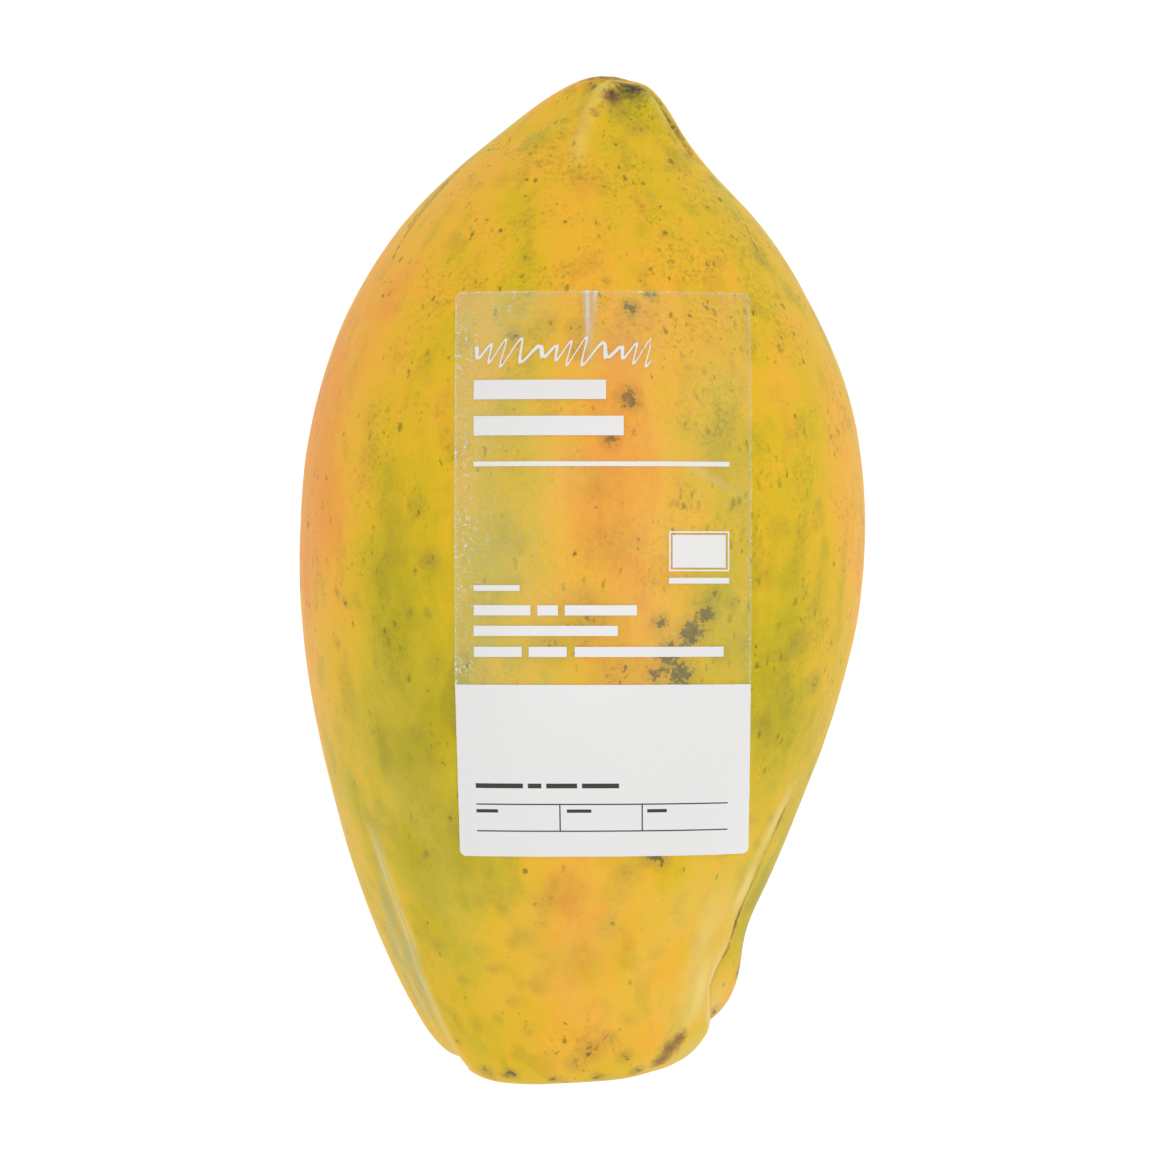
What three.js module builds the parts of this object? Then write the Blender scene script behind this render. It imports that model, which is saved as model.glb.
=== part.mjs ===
// A whole ripe papaya that lies on its side, with a film label stuck along its upper face.
// Millimetres, +Z up. The surface that the fruit rests on is z = 0, the pointed blossom end
// lies towards +Y, the blunt stalk end towards -Y, and the label faces up.
import * as THREE from "three";
import { mergeVertices } from "three/addons/utils/BufferGeometryUtils.js";

// Mesh density of the fruit: segments round it, and rings from the stalk end to the tip.
const SEGMENTS_ROUND = 64;
const RINGS = 60;

// Fullness of the cross-section: 2 is an ellipse, and a higher value is boxier.
const SECTION_POWER = 2.12;
const TINY = 1e-6;
const SHARED_WITHIN = 1e-3; // points closer than this are one vertex

// The fruit's stations, from the cut stalk to the tip. Each is one ring round the fruit: the y of
// its middle, its reach to the left, right, back and front, and the slope of its plane along x and z.
const STATIONS = [
  // y, left, right, back, front, slope along x, slope along z
  [-101.4, -4.5, -4.5, 43.5, 43.5, 0.03, -0.22], // middle of the cut stalk
  [-101.5, -9.8, 0.8, 38.2, 48.8, 0.03, -0.22],
  [-100.9, -11.0, 2.0, 37.0, 50.0, 0.03, -0.22], // edge of the cut stalk
  [-97.6, -11.6, 2.6, 36.4, 50.6, 0.03, -0.22],
  [-96.2, -13.8, 4.8, 34.4, 52.8, 0.03, -0.22], // floor of the stalk cavity
  [-98.0, -18.6, 9.4, 29.4, 57.6, 0.03, -0.22],
  [-101.0, -24.0, 15.8, 23.2, 63.8, 0.03, -0.22], // rim of the shoulders
  [-100.6, -28.8, 22.8, 17.6, 70.0, 0.03, -0.22],
  [-95.4, -33.4, 29.2, 13.6, 75.6, 0.04, -0.19],
  [-85.8, -39.2, 33.6, 10.8, 81.0, 0.02, -0.12],
  [-74.3, -44.6, 35.1, 8.4, 87.0, 0, -0.06],
  [-62.0, -48.9, 40.7, 5.8, 93.2, 0, -0.02],
  [-46.0, -53.2, 47.2, 2.9, 100.4, 0, 0],
  [-28.0, -57.2, 53.8, 0.6, 107.0, 0, 0],
  [-8.0, -60.0, 58.8, -0.9, 112.0, 0, 0],
  [12.0, -60.2, 60.2, -0.5, 114.6, 0, 0],
  [30.0, -58.3, 58.7, 3.0, 113.8, 0, 0],
  [46.0, -54.2, 54.4, 9.0, 109.8, 0, 0],
  [60.0, -48.4, 47.8, 16.6, 103.8, 0, 0],
  [74.0, -39.6, 39.0, 26.2, 96.0, 0, -0.02],
  [86.0, -28.0, 28.4, 37.0, 88.0, 0, -0.06],
  [94.0, -17.0, 22.6, 46.4, 82.2, -0.03, -0.12],
  [99.8, -8.2, 19.3, 54.0, 78.0, -0.1, -0.2],
  [103.6, -1.2, 16.4, 60.0, 74.8, -0.17, -0.2],
  [105.4, 4.4, 13.2, 63.8, 72.2, -0.22, -0.2],
  [104.9, 9.4, 9.4, 68.0, 68.0, -0.22, -0.2], // the dried flower scar at the tip
];

// The five furrows between the fruit's ribs. Angles are degrees from straight up, towards +X.
const FURROWS = [
  { atStalk: 5, atTip: 22, stalkDepth: 0.5, tipDepth: 0.9, width: 20 },
  { atStalk: 67, atTip: 92, stalkDepth: 4.2, tipDepth: 1.2, width: 10 },
  { atStalk: 142, atTip: 164, stalkDepth: 2.6, tipDepth: 1.0, width: 16 },
  { atStalk: 216, atTip: 236, stalkDepth: 2.6, tipDepth: 1.0, width: 16 },
  { atStalk: 291, atTip: 308, stalkDepth: 2.0, tipDepth: 0.9, width: 15 },
];
// Where along the fruit the furrows of each end start, and where they are at full depth.
const STALK_FURROWS = { from: -42, full: -84 };
const TIP_FURROWS = { from: 70, full: 98 };
// The radius below which the furrows have died out, and the radius where they are at full depth.
const STALK_FADE = { none: 9, full: 20 };
const TIP_FADE = { none: 3, full: 8 };
// Furrows cut towards the middle line of the fruit, which ends short of the skin at both ends.
const MIDDLE_LINE_END = 80;

// The label's edges in plan, and the radius of its corners.
const LABEL = { left: -26.4, right: 34.4, bottom: -56.4, top: 59.2, corner: 2.0 };
const LABEL_COLUMNS = 15;
const LABEL_ROWS = 28;
const FILM_THICKNESS = 0.35; // thicker than real film, so that the sheet is a sound solid
const ADHESIVE_GAP = 0.3;
const SLOPE_STEP = 1.5; // distance over which the slope under the label is measured
const ABOVE_FRUIT = 300; // a height clear of the whole fruit

const FRUIT_COLOUR = 0xdbae36;
const LABEL_COLOUR = 0xe9e6dc;

const radians = THREE.MathUtils.degToRad;
const smoothstep = THREE.MathUtils.smoothstep;

// One number of the station table at t, from 0 at the stalk to 1 at the tip.
function stationValue(column, t) {
  const last = STATIONS.length - 1;
  const at = Math.min(Math.max(t, 0), 1) * last;
  const i = Math.min(Math.floor(at), last - 1);
  const f = at - i;
  const value = (k) => STATIONS[Math.min(Math.max(k, 0), last)][column];
  const [p0, p1, p2, p3] = [value(i - 1), value(i), value(i + 1), value(i + 2)];
  const m1 = (p2 - p0) / 2;
  const m2 = (p3 - p1) / 2;
  const f2 = f * f;
  const f3 = f2 * f;
  return (2 * f3 - 3 * f2 + 1) * p1 + (f3 - 2 * f2 + f) * m1
    + (3 * f2 - 2 * f3) * p2 + (f3 - f2) * m2;
}

// Signed difference of two angles in degrees, from -180 to 180.
function angleBetween(a, b) {
  return THREE.MathUtils.euclideanModulo(a - b + 180, 360) - 180;
}

// How deep the furrows cut at this height, angle and ring radius.
function furrowDepth(y, degrees, radius) {
  const stalk = smoothstep(-y, -STALK_FURROWS.from, -STALK_FURROWS.full)
    * smoothstep(radius, STALK_FADE.none, STALK_FADE.full);
  const tip = smoothstep(y, TIP_FURROWS.from, TIP_FURROWS.full)
    * smoothstep(radius, TIP_FADE.none, TIP_FADE.full);
  const along = smoothstep(y, STALK_FURROWS.full, TIP_FURROWS.full);
  let depth = 0;
  for (const furrow of FURROWS) {
    const centre = THREE.MathUtils.lerp(furrow.atStalk, furrow.atTip, along);
    const off = angleBetween(degrees, centre) / furrow.width;
    depth += (furrow.stalkDepth * stalk + furrow.tipDepth * tip) * Math.exp(-off * off);
  }
  return depth;
}

// The fruit's surface at t along it and an angle round it.
function surfacePoint(t, degrees) {
  const [y, left, right, back, front, slopeX, slopeZ] = STATIONS[0].map((_, column) =>
    stationValue(column, t));
  const middleX = (left + right) / 2;
  const middleZ = (back + front) / 2;
  const halfWidth = (right - left) / 2;
  const halfHeight = (front - back) / 2;
  if (Math.min(halfWidth, halfHeight) < TINY) return new THREE.Vector3(middleX, y, middleZ);
  const s = Math.sin(radians(degrees));
  const c = Math.cos(radians(degrees));
  const radius = ((Math.abs(s) / halfWidth) ** SECTION_POWER
    + (Math.abs(c) / halfHeight) ** SECTION_POWER) ** (-1 / SECTION_POWER);
  const dx = radius * s;
  const dz = radius * c;
  const point = new THREE.Vector3(middleX + dx, y + slopeX * dx + slopeZ * dz, middleZ + dz);
  const middleY = THREE.MathUtils.clamp(point.y, -MIDDLE_LINE_END, MIDDLE_LINE_END);
  const inward = new THREE.Vector3(middleX, middleY, middleZ).sub(point).normalize();
  return point.addScaledVector(inward, furrowDepth(y, degrees, radius));
}

// A geometry with only positions, its shared vertices merged.
function closed(geometry) {
  geometry.deleteAttribute("normal");
  geometry.deleteAttribute("uv");
  const merged = mergeVertices(geometry, SHARED_WITHIN);
  merged.computeVertexNormals();
  return merged;
}

// The whole fruit: a sphere's grid of faces laid over the stations, with a small flat spot at z = 0.
function fruitGeometry() {
  const geometry = new THREE.SphereGeometry(1, SEGMENTS_ROUND, RINGS);
  const position = geometry.getAttribute("position");
  const uv = geometry.getAttribute("uv");
  for (let i = 0; i < position.count; i += 1) {
    const point = surfacePoint(uv.getY(i), uv.getX(i) * 360 - 90);
    position.setXYZ(i, point.x, point.y, Math.max(point.z, 0));
  }
  return closed(geometry);
}

function fruitMesh() {
  const material = new THREE.MeshStandardMaterial({ color: FRUIT_COLOUR, roughness: 0.45 });
  const mesh = new THREE.Mesh(fruitGeometry(), material);
  mesh.name = "fruit";
  return mesh;
}

// Height of the fruit's upper surface over a point of the plan.
function heightAt(fruit, x, y) {
  const from = new THREE.Vector3(x, y, ABOVE_FRUIT);
  const caster = new THREE.Raycaster(from, new THREE.Vector3(0, 0, -1));
  return caster.intersectObject(fruit)[0].point.z;
}

// The outward direction of the fruit's upper surface over a point of the plan.
function outwardAt(fruit, x, y) {
  const fallX = heightAt(fruit, x - SLOPE_STEP, y) - heightAt(fruit, x + SLOPE_STEP, y);
  const fallY = heightAt(fruit, x, y - SLOPE_STEP) - heightAt(fruit, x, y + SLOPE_STEP);
  return new THREE.Vector3(fallX, fallY, 2 * SLOPE_STEP).normalize();
}

// The label: a thin flat box, its corners drawn in, bent over the fruit.
function labelMesh(fruit) {
  const geometry = new THREE.BoxGeometry(2, 2, 2, LABEL_COLUMNS, LABEL_ROWS, 1);
  const position = geometry.getAttribute("position");
  const drawIn = LABEL.corner * (1 - Math.SQRT1_2);
  for (let i = 0; i < position.count; i += 1) {
    const across = position.getX(i);
    const along = position.getY(i);
    const isCorner = Math.abs(across * along) > 1 - TINY;
    const inset = isCorner ? drawIn : 0;
    const x = THREE.MathUtils.mapLinear(across, -1, 1, LABEL.left, LABEL.right) - across * inset;
    const y = THREE.MathUtils.mapLinear(along, -1, 1, LABEL.bottom, LABEL.top) - along * inset;
    const lift = ADHESIVE_GAP + (position.getZ(i) > 0 ? FILM_THICKNESS : 0);
    const point = new THREE.Vector3(x, y, heightAt(fruit, x, y));
    point.addScaledVector(outwardAt(fruit, x, y), lift);
    position.setXYZ(i, point.x, point.y, point.z);
  }
  const material = new THREE.MeshStandardMaterial({ color: LABEL_COLOUR, roughness: 0.35 });
  const mesh = new THREE.Mesh(closed(geometry), material);
  mesh.name = "label";
  return mesh;
}

const papaya = new THREE.Group();
const fruit = fruitMesh();
papaya.add(fruit, labelMesh(fruit));

export default papaya;
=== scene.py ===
"""A whole ripe papaya with a film label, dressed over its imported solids, and the studio it lies in."""

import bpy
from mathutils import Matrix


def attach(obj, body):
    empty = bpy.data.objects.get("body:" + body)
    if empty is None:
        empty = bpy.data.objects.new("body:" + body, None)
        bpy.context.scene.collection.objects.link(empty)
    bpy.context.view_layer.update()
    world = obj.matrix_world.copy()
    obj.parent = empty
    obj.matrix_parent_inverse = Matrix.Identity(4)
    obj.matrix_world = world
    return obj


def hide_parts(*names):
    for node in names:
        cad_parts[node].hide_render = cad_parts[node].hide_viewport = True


bl_info = {
    "name": "Papaya",
    "version": (1, 0, 0),
    "blender": (4, 5, 0),
    "location": "3D View > Sidebar > Papaya",
    "description": "Builds a ripe papaya with its mottled skin, its film label and a pale studio",
    "category": "Object",
}

from math import radians

import bpy
import numpy as np
from mathutils import Vector, noise
from mathutils.bvhtree import BVHTree

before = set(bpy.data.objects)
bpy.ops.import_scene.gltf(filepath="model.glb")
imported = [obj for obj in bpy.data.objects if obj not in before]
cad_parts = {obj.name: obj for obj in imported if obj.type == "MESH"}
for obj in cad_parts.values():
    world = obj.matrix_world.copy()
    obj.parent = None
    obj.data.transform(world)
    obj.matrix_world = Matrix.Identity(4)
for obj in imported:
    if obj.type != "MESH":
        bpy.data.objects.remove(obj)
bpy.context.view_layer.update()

MM = 0.001
FAR = 9.0  # a distance in mm past which a line on the skin has no effect
UNREACHED = 1e4  # added to a squared distance in mm, so that no place there is the nearest

# Places on the skin are given as y along the fruit in mm, and an angle round it in degrees: 0 is
# straight up, 90 is towards +X, and 180 is underneath.

# The middle line of the fruit, from the cut stalk to the tip, as points of y, x and z in mm.
MIDDLE_LINE = (
    (-101, -4.5, 43.5), (-74, -4.5, 47.7), (-46, -3.0, 51.7), (0, -0.3, 56.2),
    (46, 0.1, 59.4), (86, 0.2, 62.5), (105, 9.4, 68.0),
)
# The middle of the cut stalk, and how far its rough face, its dried tissue and its dark eye reach.
STALK = (-4.5, -101.0, 43.5)  # in x, y and z
STALK_FACE_REACH = 9.1
STALK_CORK_REACH = 10.5
STALK_EYE_REACH = 3.0
CAVITY = {"y": -88, "radius": 19}  # the hollow round the stalk: nearer the stalk end, and narrower

# Lines along the skin, as points of y and angle, from the stalk end.
RIGHT_CREASE = (
    (-104, 82), (-98, 79), (-94.5, 75.5), (-90, 71), (-85.5, 70), (-80.8, 71), (-73.5, 69),
    (-67.5, 67.5), (-60, 67.5), (-54.7, 68), (-49.4, 69.5), (-38, 75),
)
# The front lobe's edge along the left furrow.
FURROW_EDGE = (
    (-104, -41), (-99, -45), (-94, -47.5), (-87.5, -49.6), (-83.5, -50.8), (-77, -49.3),
    (-71.4, -50.6), (-64, -52.6), (-55, -54), (-48, -55),
)
# Width in mm of the wall that falls from that edge into the furrow, which takes painted shade and sheen,
# at points of y.
FURROW_WALL = ((-104, 14), (-84, 15.4), (-79, 15.9), (-74, 13.4), (-66, 10), (-56, 4.6), (-50, 2))
CRESTS = (
    ((-98, -28), (-83.5, -26.5), (-70.6, -23.8), (-52, -23)),
    ((-98, 41.5), (-80.6, 43.4), (-58.9, 43.3), (-50, 43)),
)
TIP_RIDGES = (
    ((84, -3), (87.5, -5), (95, -14), (98.3, -21), (101.8, -27), (105, -46)),
    ((92, 62), (95.4, 57), (97.6, 55), (100.8, 51), (104, 38)),
)
TIP_CLEFT = ((84, 78), (89.2, 66), (94.1, 67), (96.9, 64), (101, 60), (104, 52))
SCRATCHES = (
    ((66, -66.5), (70, -68.2), (80, -72.6), (87, -76.4)),
    ((74, -72.6), (80, -75.4), (85, -77.6)),
    ((65, 60.5), (72.3, 62.9), (79, 69.5)),
    ((-82, -76.5), (-76, -73), (-71, -69.5)),
    ((-75.5, 70.4), (-71.5, 69), (-68.5, 68.6)),
)
# The solids' own furrow beside the right crease: its angle and width in degrees, its depth in mm,
# and how far towards the stalk end it starts and is full.
SOLID_FURROW = {"angle": 67, "width": 10, "depth": 4.2, "starts": 42, "full": 84}
# How much of that furrow the front lobe fills, at points of y.
FRONT_LOBE_FILL = (
    (-104, 0.9), (-95, 0.9), (-91, 0.4), (-86, 0.0), (-82, 0.2), (-76, 0.75), (-55, 0.75),
    (-42, 0.3),
)
# Where the right lobe ends short of the front one: angle, y, half-width, half-length and depth.
RIGHT_LOBE_END = (92, -98, 13, 5, 1.9)

# Ripening: how far each patch of skin is riper (+) or greener (-) than golden yellow.
RIPENING = (
    # angle, y, half-width in degrees, half-length in mm, change
    (-82, 22, 23, 48, 0.54),
    (-58, 20, 6, 30, 0.10),
    (-62, 60, 15, 22, 0.14),
    (-40, 46, 14, 20, -0.02),
    (-37, -6, 11, 34, -0.28),
    (-38, -40, 15, 24, -0.26),
    (-33, -66, 14, 18, -0.14),
    (-64, -52, 13, 24, -0.18),
    (-18, 2, 9, 36, -0.20),
    (-18, 72, 20, 20, 0.18),
    (4, 50, 11, 24, 0.20),
    (7, 4, 11, 38, 0.33),
    (13, 4, 8, 30, 0.09),
    (30, 8, 7, 30, -0.14),
    (10, -12, 9, 14, 0.04),
    (4, -74, 15, 19, 0.40),
    (14, -96, 24, 10, 0.08),
    (14, -74, 7, 10, 0.10),
    (-48, -84, 8, 14, -0.12),
    (-36, -80, 13, 20, -0.15),
    (32, -84, 11, 18, 0.20),
    (28, 62, 18, 20, 0.22),
    (38, -12, 9, 18, -0.16),
    (50, 10, 11, 34, -0.01),
    (66, 6, 8, 30, 0.06),
    (50, -24, 12, 20, -0.11),
    (58, 50, 12, 18, 0.10),
    (84, 26, 15, 34, 0.25),
    (57, -42, 10, 14, -0.18),
    (84, -22, 10, 14, -0.22),
    (72, -30, 9, 20, -0.17),
    (84, -64, 13, 15, -0.36),
    (84, -92, 13, 7, 0.46),
    (-88, -80, 12, 26, 0.14),
    (20, 101, 40, 5, -0.26),
    (-50, 96, 30, 12, 0.06),
    (62, 76, 12, 12, -0.08),
    (128, 8, 20, 56, 0.30),
    (166, -6, 18, 60, -0.22),
    (-152, 30, 18, 44, 0.12),
    (-128, -14, 18, 46, 0.28),
    (112, -54, 14, 26, -0.14),
    (-106, -62, 14, 24, -0.12),
    (180, -90, 34, 14, -0.12),
    (180, 92, 60, 12, -0.08),
)

# Paler skin under a thin bloom; the narrow patch at angle 51 is a painted highlight on a crest by the
# stalk end.
PALE_AND_HIGHLIGHT_PATCHES = (
    # angle, y, half-width in degrees, half-length in mm, strength
    (46, -78, 13, 22, 0.42), (8, -78, 30, 26, 0.16), (64, -100, 16, 6, 0.24),
    (84, -97, 12, 7, 0.40), (-76, -30, 12, 40, 0.10), (51, -86, 3.5, 11, 0.5),
    (-46, -42, 16, 26, 0.16), (-30, -68, 12, 18, 0.10),
)

# Freckles: where the skin carries more of them.
FRECKLES = (
    # angle, y, half-width in degrees, half-length in mm, density
    (22, 92, 60, 16, 0.40),
    (20, 98, 22, 5, 0.50),
    (68, 92, 12, 12, 0.60),
    (60, 72, 16, 18, 0.64),
    (42, 58, 16, 14, 0.34),
    (0, 66, 40, 16, 0.26),
    (-30, 60, 20, 16, 0.16),
    (-60, 62, 16, 26, -0.16),
    (-42, 8, 12, 44, 0.22),
    (-36, -50, 12, 24, 0.12),
    (30, 20, 14, 30, 0.26),
    (52, -14, 12, 36, 0.40),
    (58, 34, 12, 22, 0.26),
    (74, 0, 9, 60, 0.22),
    (12, -98, 26, 7, 0.30),
    (88, -78, 6, 20, 0.24),
    (150, 20, 36, 50, 0.20),
    (-140, -20, 36, 50, 0.20),
    (180, -88, 60, 16, 0.30),
)

# Bruises: small dark or grey-green marks, and painted shade along the stalk end's rim.
BRUISES_AND_RIM_SHADE = (
    # angle, y, radius in mm, strength
    (17, -8.4, 2.6, 1.0), (24.4, -10.8, 3.6, 1.25), (27, -7.6, 2.8, 1.1), (20.4, -15.4, 3.6, 1.2),
    (22.6, -20, 3.8, 1.15), (17.4, -19.4, 2.8, 0.95), (28, -2.5, 1.8, 0.8), (33, -5.6, 2.0, 0.7),
    (23, -27, 3.0, 0.7), (31, -15, 2.6, 0.6), (9.5, 37.7, 2.8, 1.1), (2, -8, 9, 0.58),
    (6, 8, 8, 0.46), (-6, -14, 6, 0.56), (9, -19, 7, 0.6), (3, 20, 7, 0.40), (0, -66, 8, 0.42),
    (6, -80, 8, 0.42), (-8, -74, 6, 0.36), (14, -72, 6, 0.36),
    (11, 36, 1.8, 0.9), (5.2, 28.4, 2.4, 1.0), (-2, 51.5, 2.6, 0.75), (-1.5, 47.0, 2.4, 0.7),
    (-17.2, 50.0, 2.2, 0.9), (11.8, 56.4, 2.1, 1.1), (16, 61.6, 1.2, 0.7), (17.6, 59.2, 1.5, 1.1),
    (19.4, 59.0, 1.1, 1.0), (6.2, 61.2, 1.2, 0.8), (42.4, 66, 2.0, 0.6), (55, 16.7, 1.6, 0.7),
    (60, -22, 3.2, 0.7),
    (52, -14, 4.2, 0.55), (46, -30, 3.6, 0.5), (24, -57, 2.8, 1.0), (27, -58, 2.2, 0.9),
    (17, -60, 2.4, 0.5), (10.6, -98.4, 3.4, 0.72), (17, -96, 2.4, 0.62), (5, -101, 2.8, 0.66),
    # Painted shade: the marks at y -103 to -105 here and on the next two lines lie along the stalk end's
    # rim, where the skin turns away from the light.
    (24, -100, 2.2, 0.7), (-20.5, -103.6, 1.7, 1.0), (-24, -104.2, 1.4, 0.9),
    (-33, -103.6, 2.2, 0.7),
    (-3.5, -105.1, 1.5, 0.95), (16, -104.6, 1.8, 0.8), (32, -103.2, 2.0, 0.85),
    (-42, -96.9, 0.9, 0.95), (-57, -1.6, 1.4, 0.8), (-54.7, -3.6, 1.2, 0.8), (-59, -12.4, 1.6, 0.7),
    (-36, -6, 1.4, 0.7), (-31.7, -7.7, 1.3, 0.7), (-30, -18, 3.0, 0.5), (-33, 4, 3.4, 0.5),
    (-27.4, -44.7, 0.9, 1.1), (-38.3, -56.2, 1.1, 0.9), (60, 68, 3.2, 0.6), (66, 60, 3.0, 0.55),
    (-14.6, -74.8, 2.0, 0.60), (-5.9, -71.8, 1.8, 0.50), (-5.5, -77.5, 2.2, 0.44),
    (-7.1, -84.6, 2.4, 0.48), (-16.4, -87.7, 2.0, 0.50), (-21.8, -91.8, 1.6, 0.56),
    (-12.4, -94.7, 2.0, 0.46), (-21.5, -80.8, 1.8, 0.52), (-32.2, -83.4, 1.8, 0.50),
    (-38.9, -76, 2.4, 0.50), (-17.1, -68.6, 1.8, 0.50), (57, -56, 1.6, 0.6), (60, -50, 2.4, 0.55),
    (130, 30, 2.8, 0.7), (-150, -40, 3.2, 0.7), (170, 10, 2.4, 0.7), (-120, 40, 2.2, 0.6),
    (66, 95, 3.2, 0.72), (61, 89, 2.4, 0.7), (-62, 104, 2.6, 0.7), (10, 98, 3.4, 0.6),
    (28, 95, 3.4, 0.55), (70, 84, 2.4, 0.7), (84, -84, 2.0, 0.85), (80, -92, 2.4, 0.8),
)
# Dried brown skin by the tip's recess and in the healed patch by the stalk end.
CORK_SPOTS = (
    # angle, y, radius in mm, strength
    (-11.4, 101.4, 3.3, 0.85), (-16, 98.2, 2.2, 0.6),
    (45.4, -96.8, 3.0, 0.86), (43.6, -98.8, 3.8, 0.86), (41.2, -101.0, 3.4, 0.86),
)
TIP_SCAR = (10.6, 104.3, 72.2)  # the middle of the dried flower's scar
TIP_SCAR_RADIUS = 3.2
# The darkest skin beside the scar, partly dark tissue and partly painted shade in the hollow there:
# angle, y, radius in mm and strength.
TIP_SHADES = (
    (-2, 102.2, 2.4, 0.75), (-13, 102.0, 2.2, 0.80), (-15, 99.8, 1.6, 0.60), (-6, 100.8, 2.0, 0.50),
)
# How far on the near side of the right crease its painted shadow line shows, in mm: without the front
# lobe's overhang, and how much further with all of it.
CREASE_SHADOW_SHOWS = (2.9, 0.9)
# How strong that painted shadow line is, at points of y.
CREASE_SHADOW_STRENGTH = (
    (-104, 0.1), (-92, 0.15), (-85, 0.35), (-80, 0.9), (-71, 1.0), (-66, 0.7), (-60, 0.35),
    (-54, 0.5), (-48, 0.5), (-38, 0.2),
)
TIP_RECESS = (-11.4, 101.4, 3.3)  # angle, y and radius in mm of the hollow beside the scar
# The most that the skin is raised, and how deep its hollows are at their middles, in mm.
HIGHEST_RELIEF = 3.0
TIP_RECESS_DEPTH = 1.0
TIP_SCAR_DEPTH = 0.5
BRUISE_DEPTH = 0.10

# How the front lobe's side rises to the left of the right crease, and how far the crease's hollow
# reaches on each side of it, in mm.
LOBE_SIDE = {"foot": 0.2, "top": 2.8}
CREASE_HOLLOW = {"left": 0.8, "right": 4.0}
CREASE_FADES = (1, 16)

# Bands along lines of the skin: the line, the mm over which the band fades in and out along it,
# how far it lies to the line's right, its half-width in mm, and its height in mm or its strength.
RELIEF_BANDS = (
    (RIGHT_CREASE, *CREASE_FADES, -2.4, 1.4, 0.3),
    (FURROW_EDGE, 1, 10, 0.0, 1.9, 0.45),
    (FURROW_EDGE, 1, 10, -6.0, 4.2, -0.7),
    (TIP_CLEFT, 5, 1, 0.0, 1.6, -0.42),
    *((ridge, 5, 1, 0.0, 1.6, 0.8) for ridge in TIP_RIDGES),
    *((crest, 4, 14, 0.0, 2.6, 0.35) for crest in CRESTS),
)
# Painted highlights along lines of the skin: by the right crease, on the left furrow's edge and on the
# tip's ridges.
HIGHLIGHT_BANDS = (
    (RIGHT_CREASE, 3, 46, 3.0, 2.6, 0.45),
    (FURROW_EDGE, 2, 20, 0.0, 1.0, 0.5),
    (FURROW_EDGE, 16, 12, -3.2, 1.2, 0.6),
    (FURROW_EDGE, 16, 22, -11.0, 1.4, 0.4),
    *((ridge, 5, 1, 0.2, 1.5, 0.5) for ridge in TIP_RIDGES),
)

# Layers of slow noise: wavelength in mm, seed, how much longer it is along the fruit, and strength.
SKIN_SWELLS = ((34, 3.1, 1.8, 0.6), (11, 9.7, 2.0, 0.25), (4.5, 1.9, 1.5, 0.09))
STALK_SWELLS = ((2.2, 5.5, 1.0, 0.3),)
RIPE_CLOUDS = ((30, 21.3, 2.2, 0.10), (10, 33.8, 1.8, 0.09), (4.2, 45.1, 1.4, 0.05))
OLIVE_CLOUDS = ((6.0, 12.4, 1.7, 1.0), (2.8, 4.4, 1.5, 0.6))
FRECKLE_GROUPS = ((9, 7.7, 1.0, 1.3),)
FURROW_SHADE_STREAKS = ((7, 2.2, 2.5, 0.4), (1.9, 6.1, 6.0, 0.6))
CREAM_PATCHES = ((6, 8.4, 2.5, 0.5),)
CREASE_SHADOW_PATCHES = ((5, 14.2, 1.0, 0.6),)

# Strips of the skin, as four places between which they fade in and out: beside a line, or along
# the fruit, in mm.
# The first strip is a painted highlight on the front lobe's rim by the right crease, the second painted
# shadow in the tip's cleft, and the third the stretch of painted shade and sheen in the furrow.
CREASE_RIM_HIGHLIGHT = (-9.0, -5.5, -4.4, -3.4)
CLEFT_SHADE = (-1.6, 0.2, 1.0, 5.0)
FURROW_SHADE_LENGTH = (-95, -86, -57, -49)
# Where along the fruit, in mm, the freckles grow thicker, and where the tip's far rim darkens with
# painted shade.
FRECKLES_RISE = (-66, 48)
TIP_RIM_SHADE = (104.0, 106.0)
# The values of a patch or of its noise between which it fades in, or within which it stays.
OLIVE_FADE = (0.2, 1.1)
OLIVE_LIMITS = (0.2, 0.9)
GROUP_LIMITS = (0.08, 2.2)
STALK_CORK_FADE = (0.35, 0.6)
FURROW_SHADE_LIMITS = (0.15, 1.1)
CREAM_LIMITS = (0.2, 1.1)
# How strongly each of these shows.
CREASE_RIM_HIGHLIGHT_STRENGTH = 0.8
FURROW_SHADE_STRENGTH = 0.9
# How dark each part of the scar's mask is: the scar, the painted shadow in the cleft, the painted shade
# at the tip's rim, and the stalk's dark eye.
SCAR_AND_SHADE_STRENGTHS = {"scar": 1.05, "cleft": 0.62, "tip": 0.72, "stalk_eye": 0.9}
SCAR_REACH = 1.6  # how far the scar's dark tissue reaches, in radii of the scar


# Sizes and colours that a user would change.


def linear(red, green, blue):
    """A screen colour, 0 to 255, as linear red, green and blue."""
    shares = [channel / 255 for channel in (red, green, blue)]
    return tuple(s / 12.92 if s <= 0.04045 else ((s + 0.055) / 1.055) ** 2.4 for s in shares)


def colour_property(name, description, default):
    return bpy.props.FloatVectorProperty(
        name=name, description=description, default=default, subtype="COLOR", min=0, max=1
    )


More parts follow.
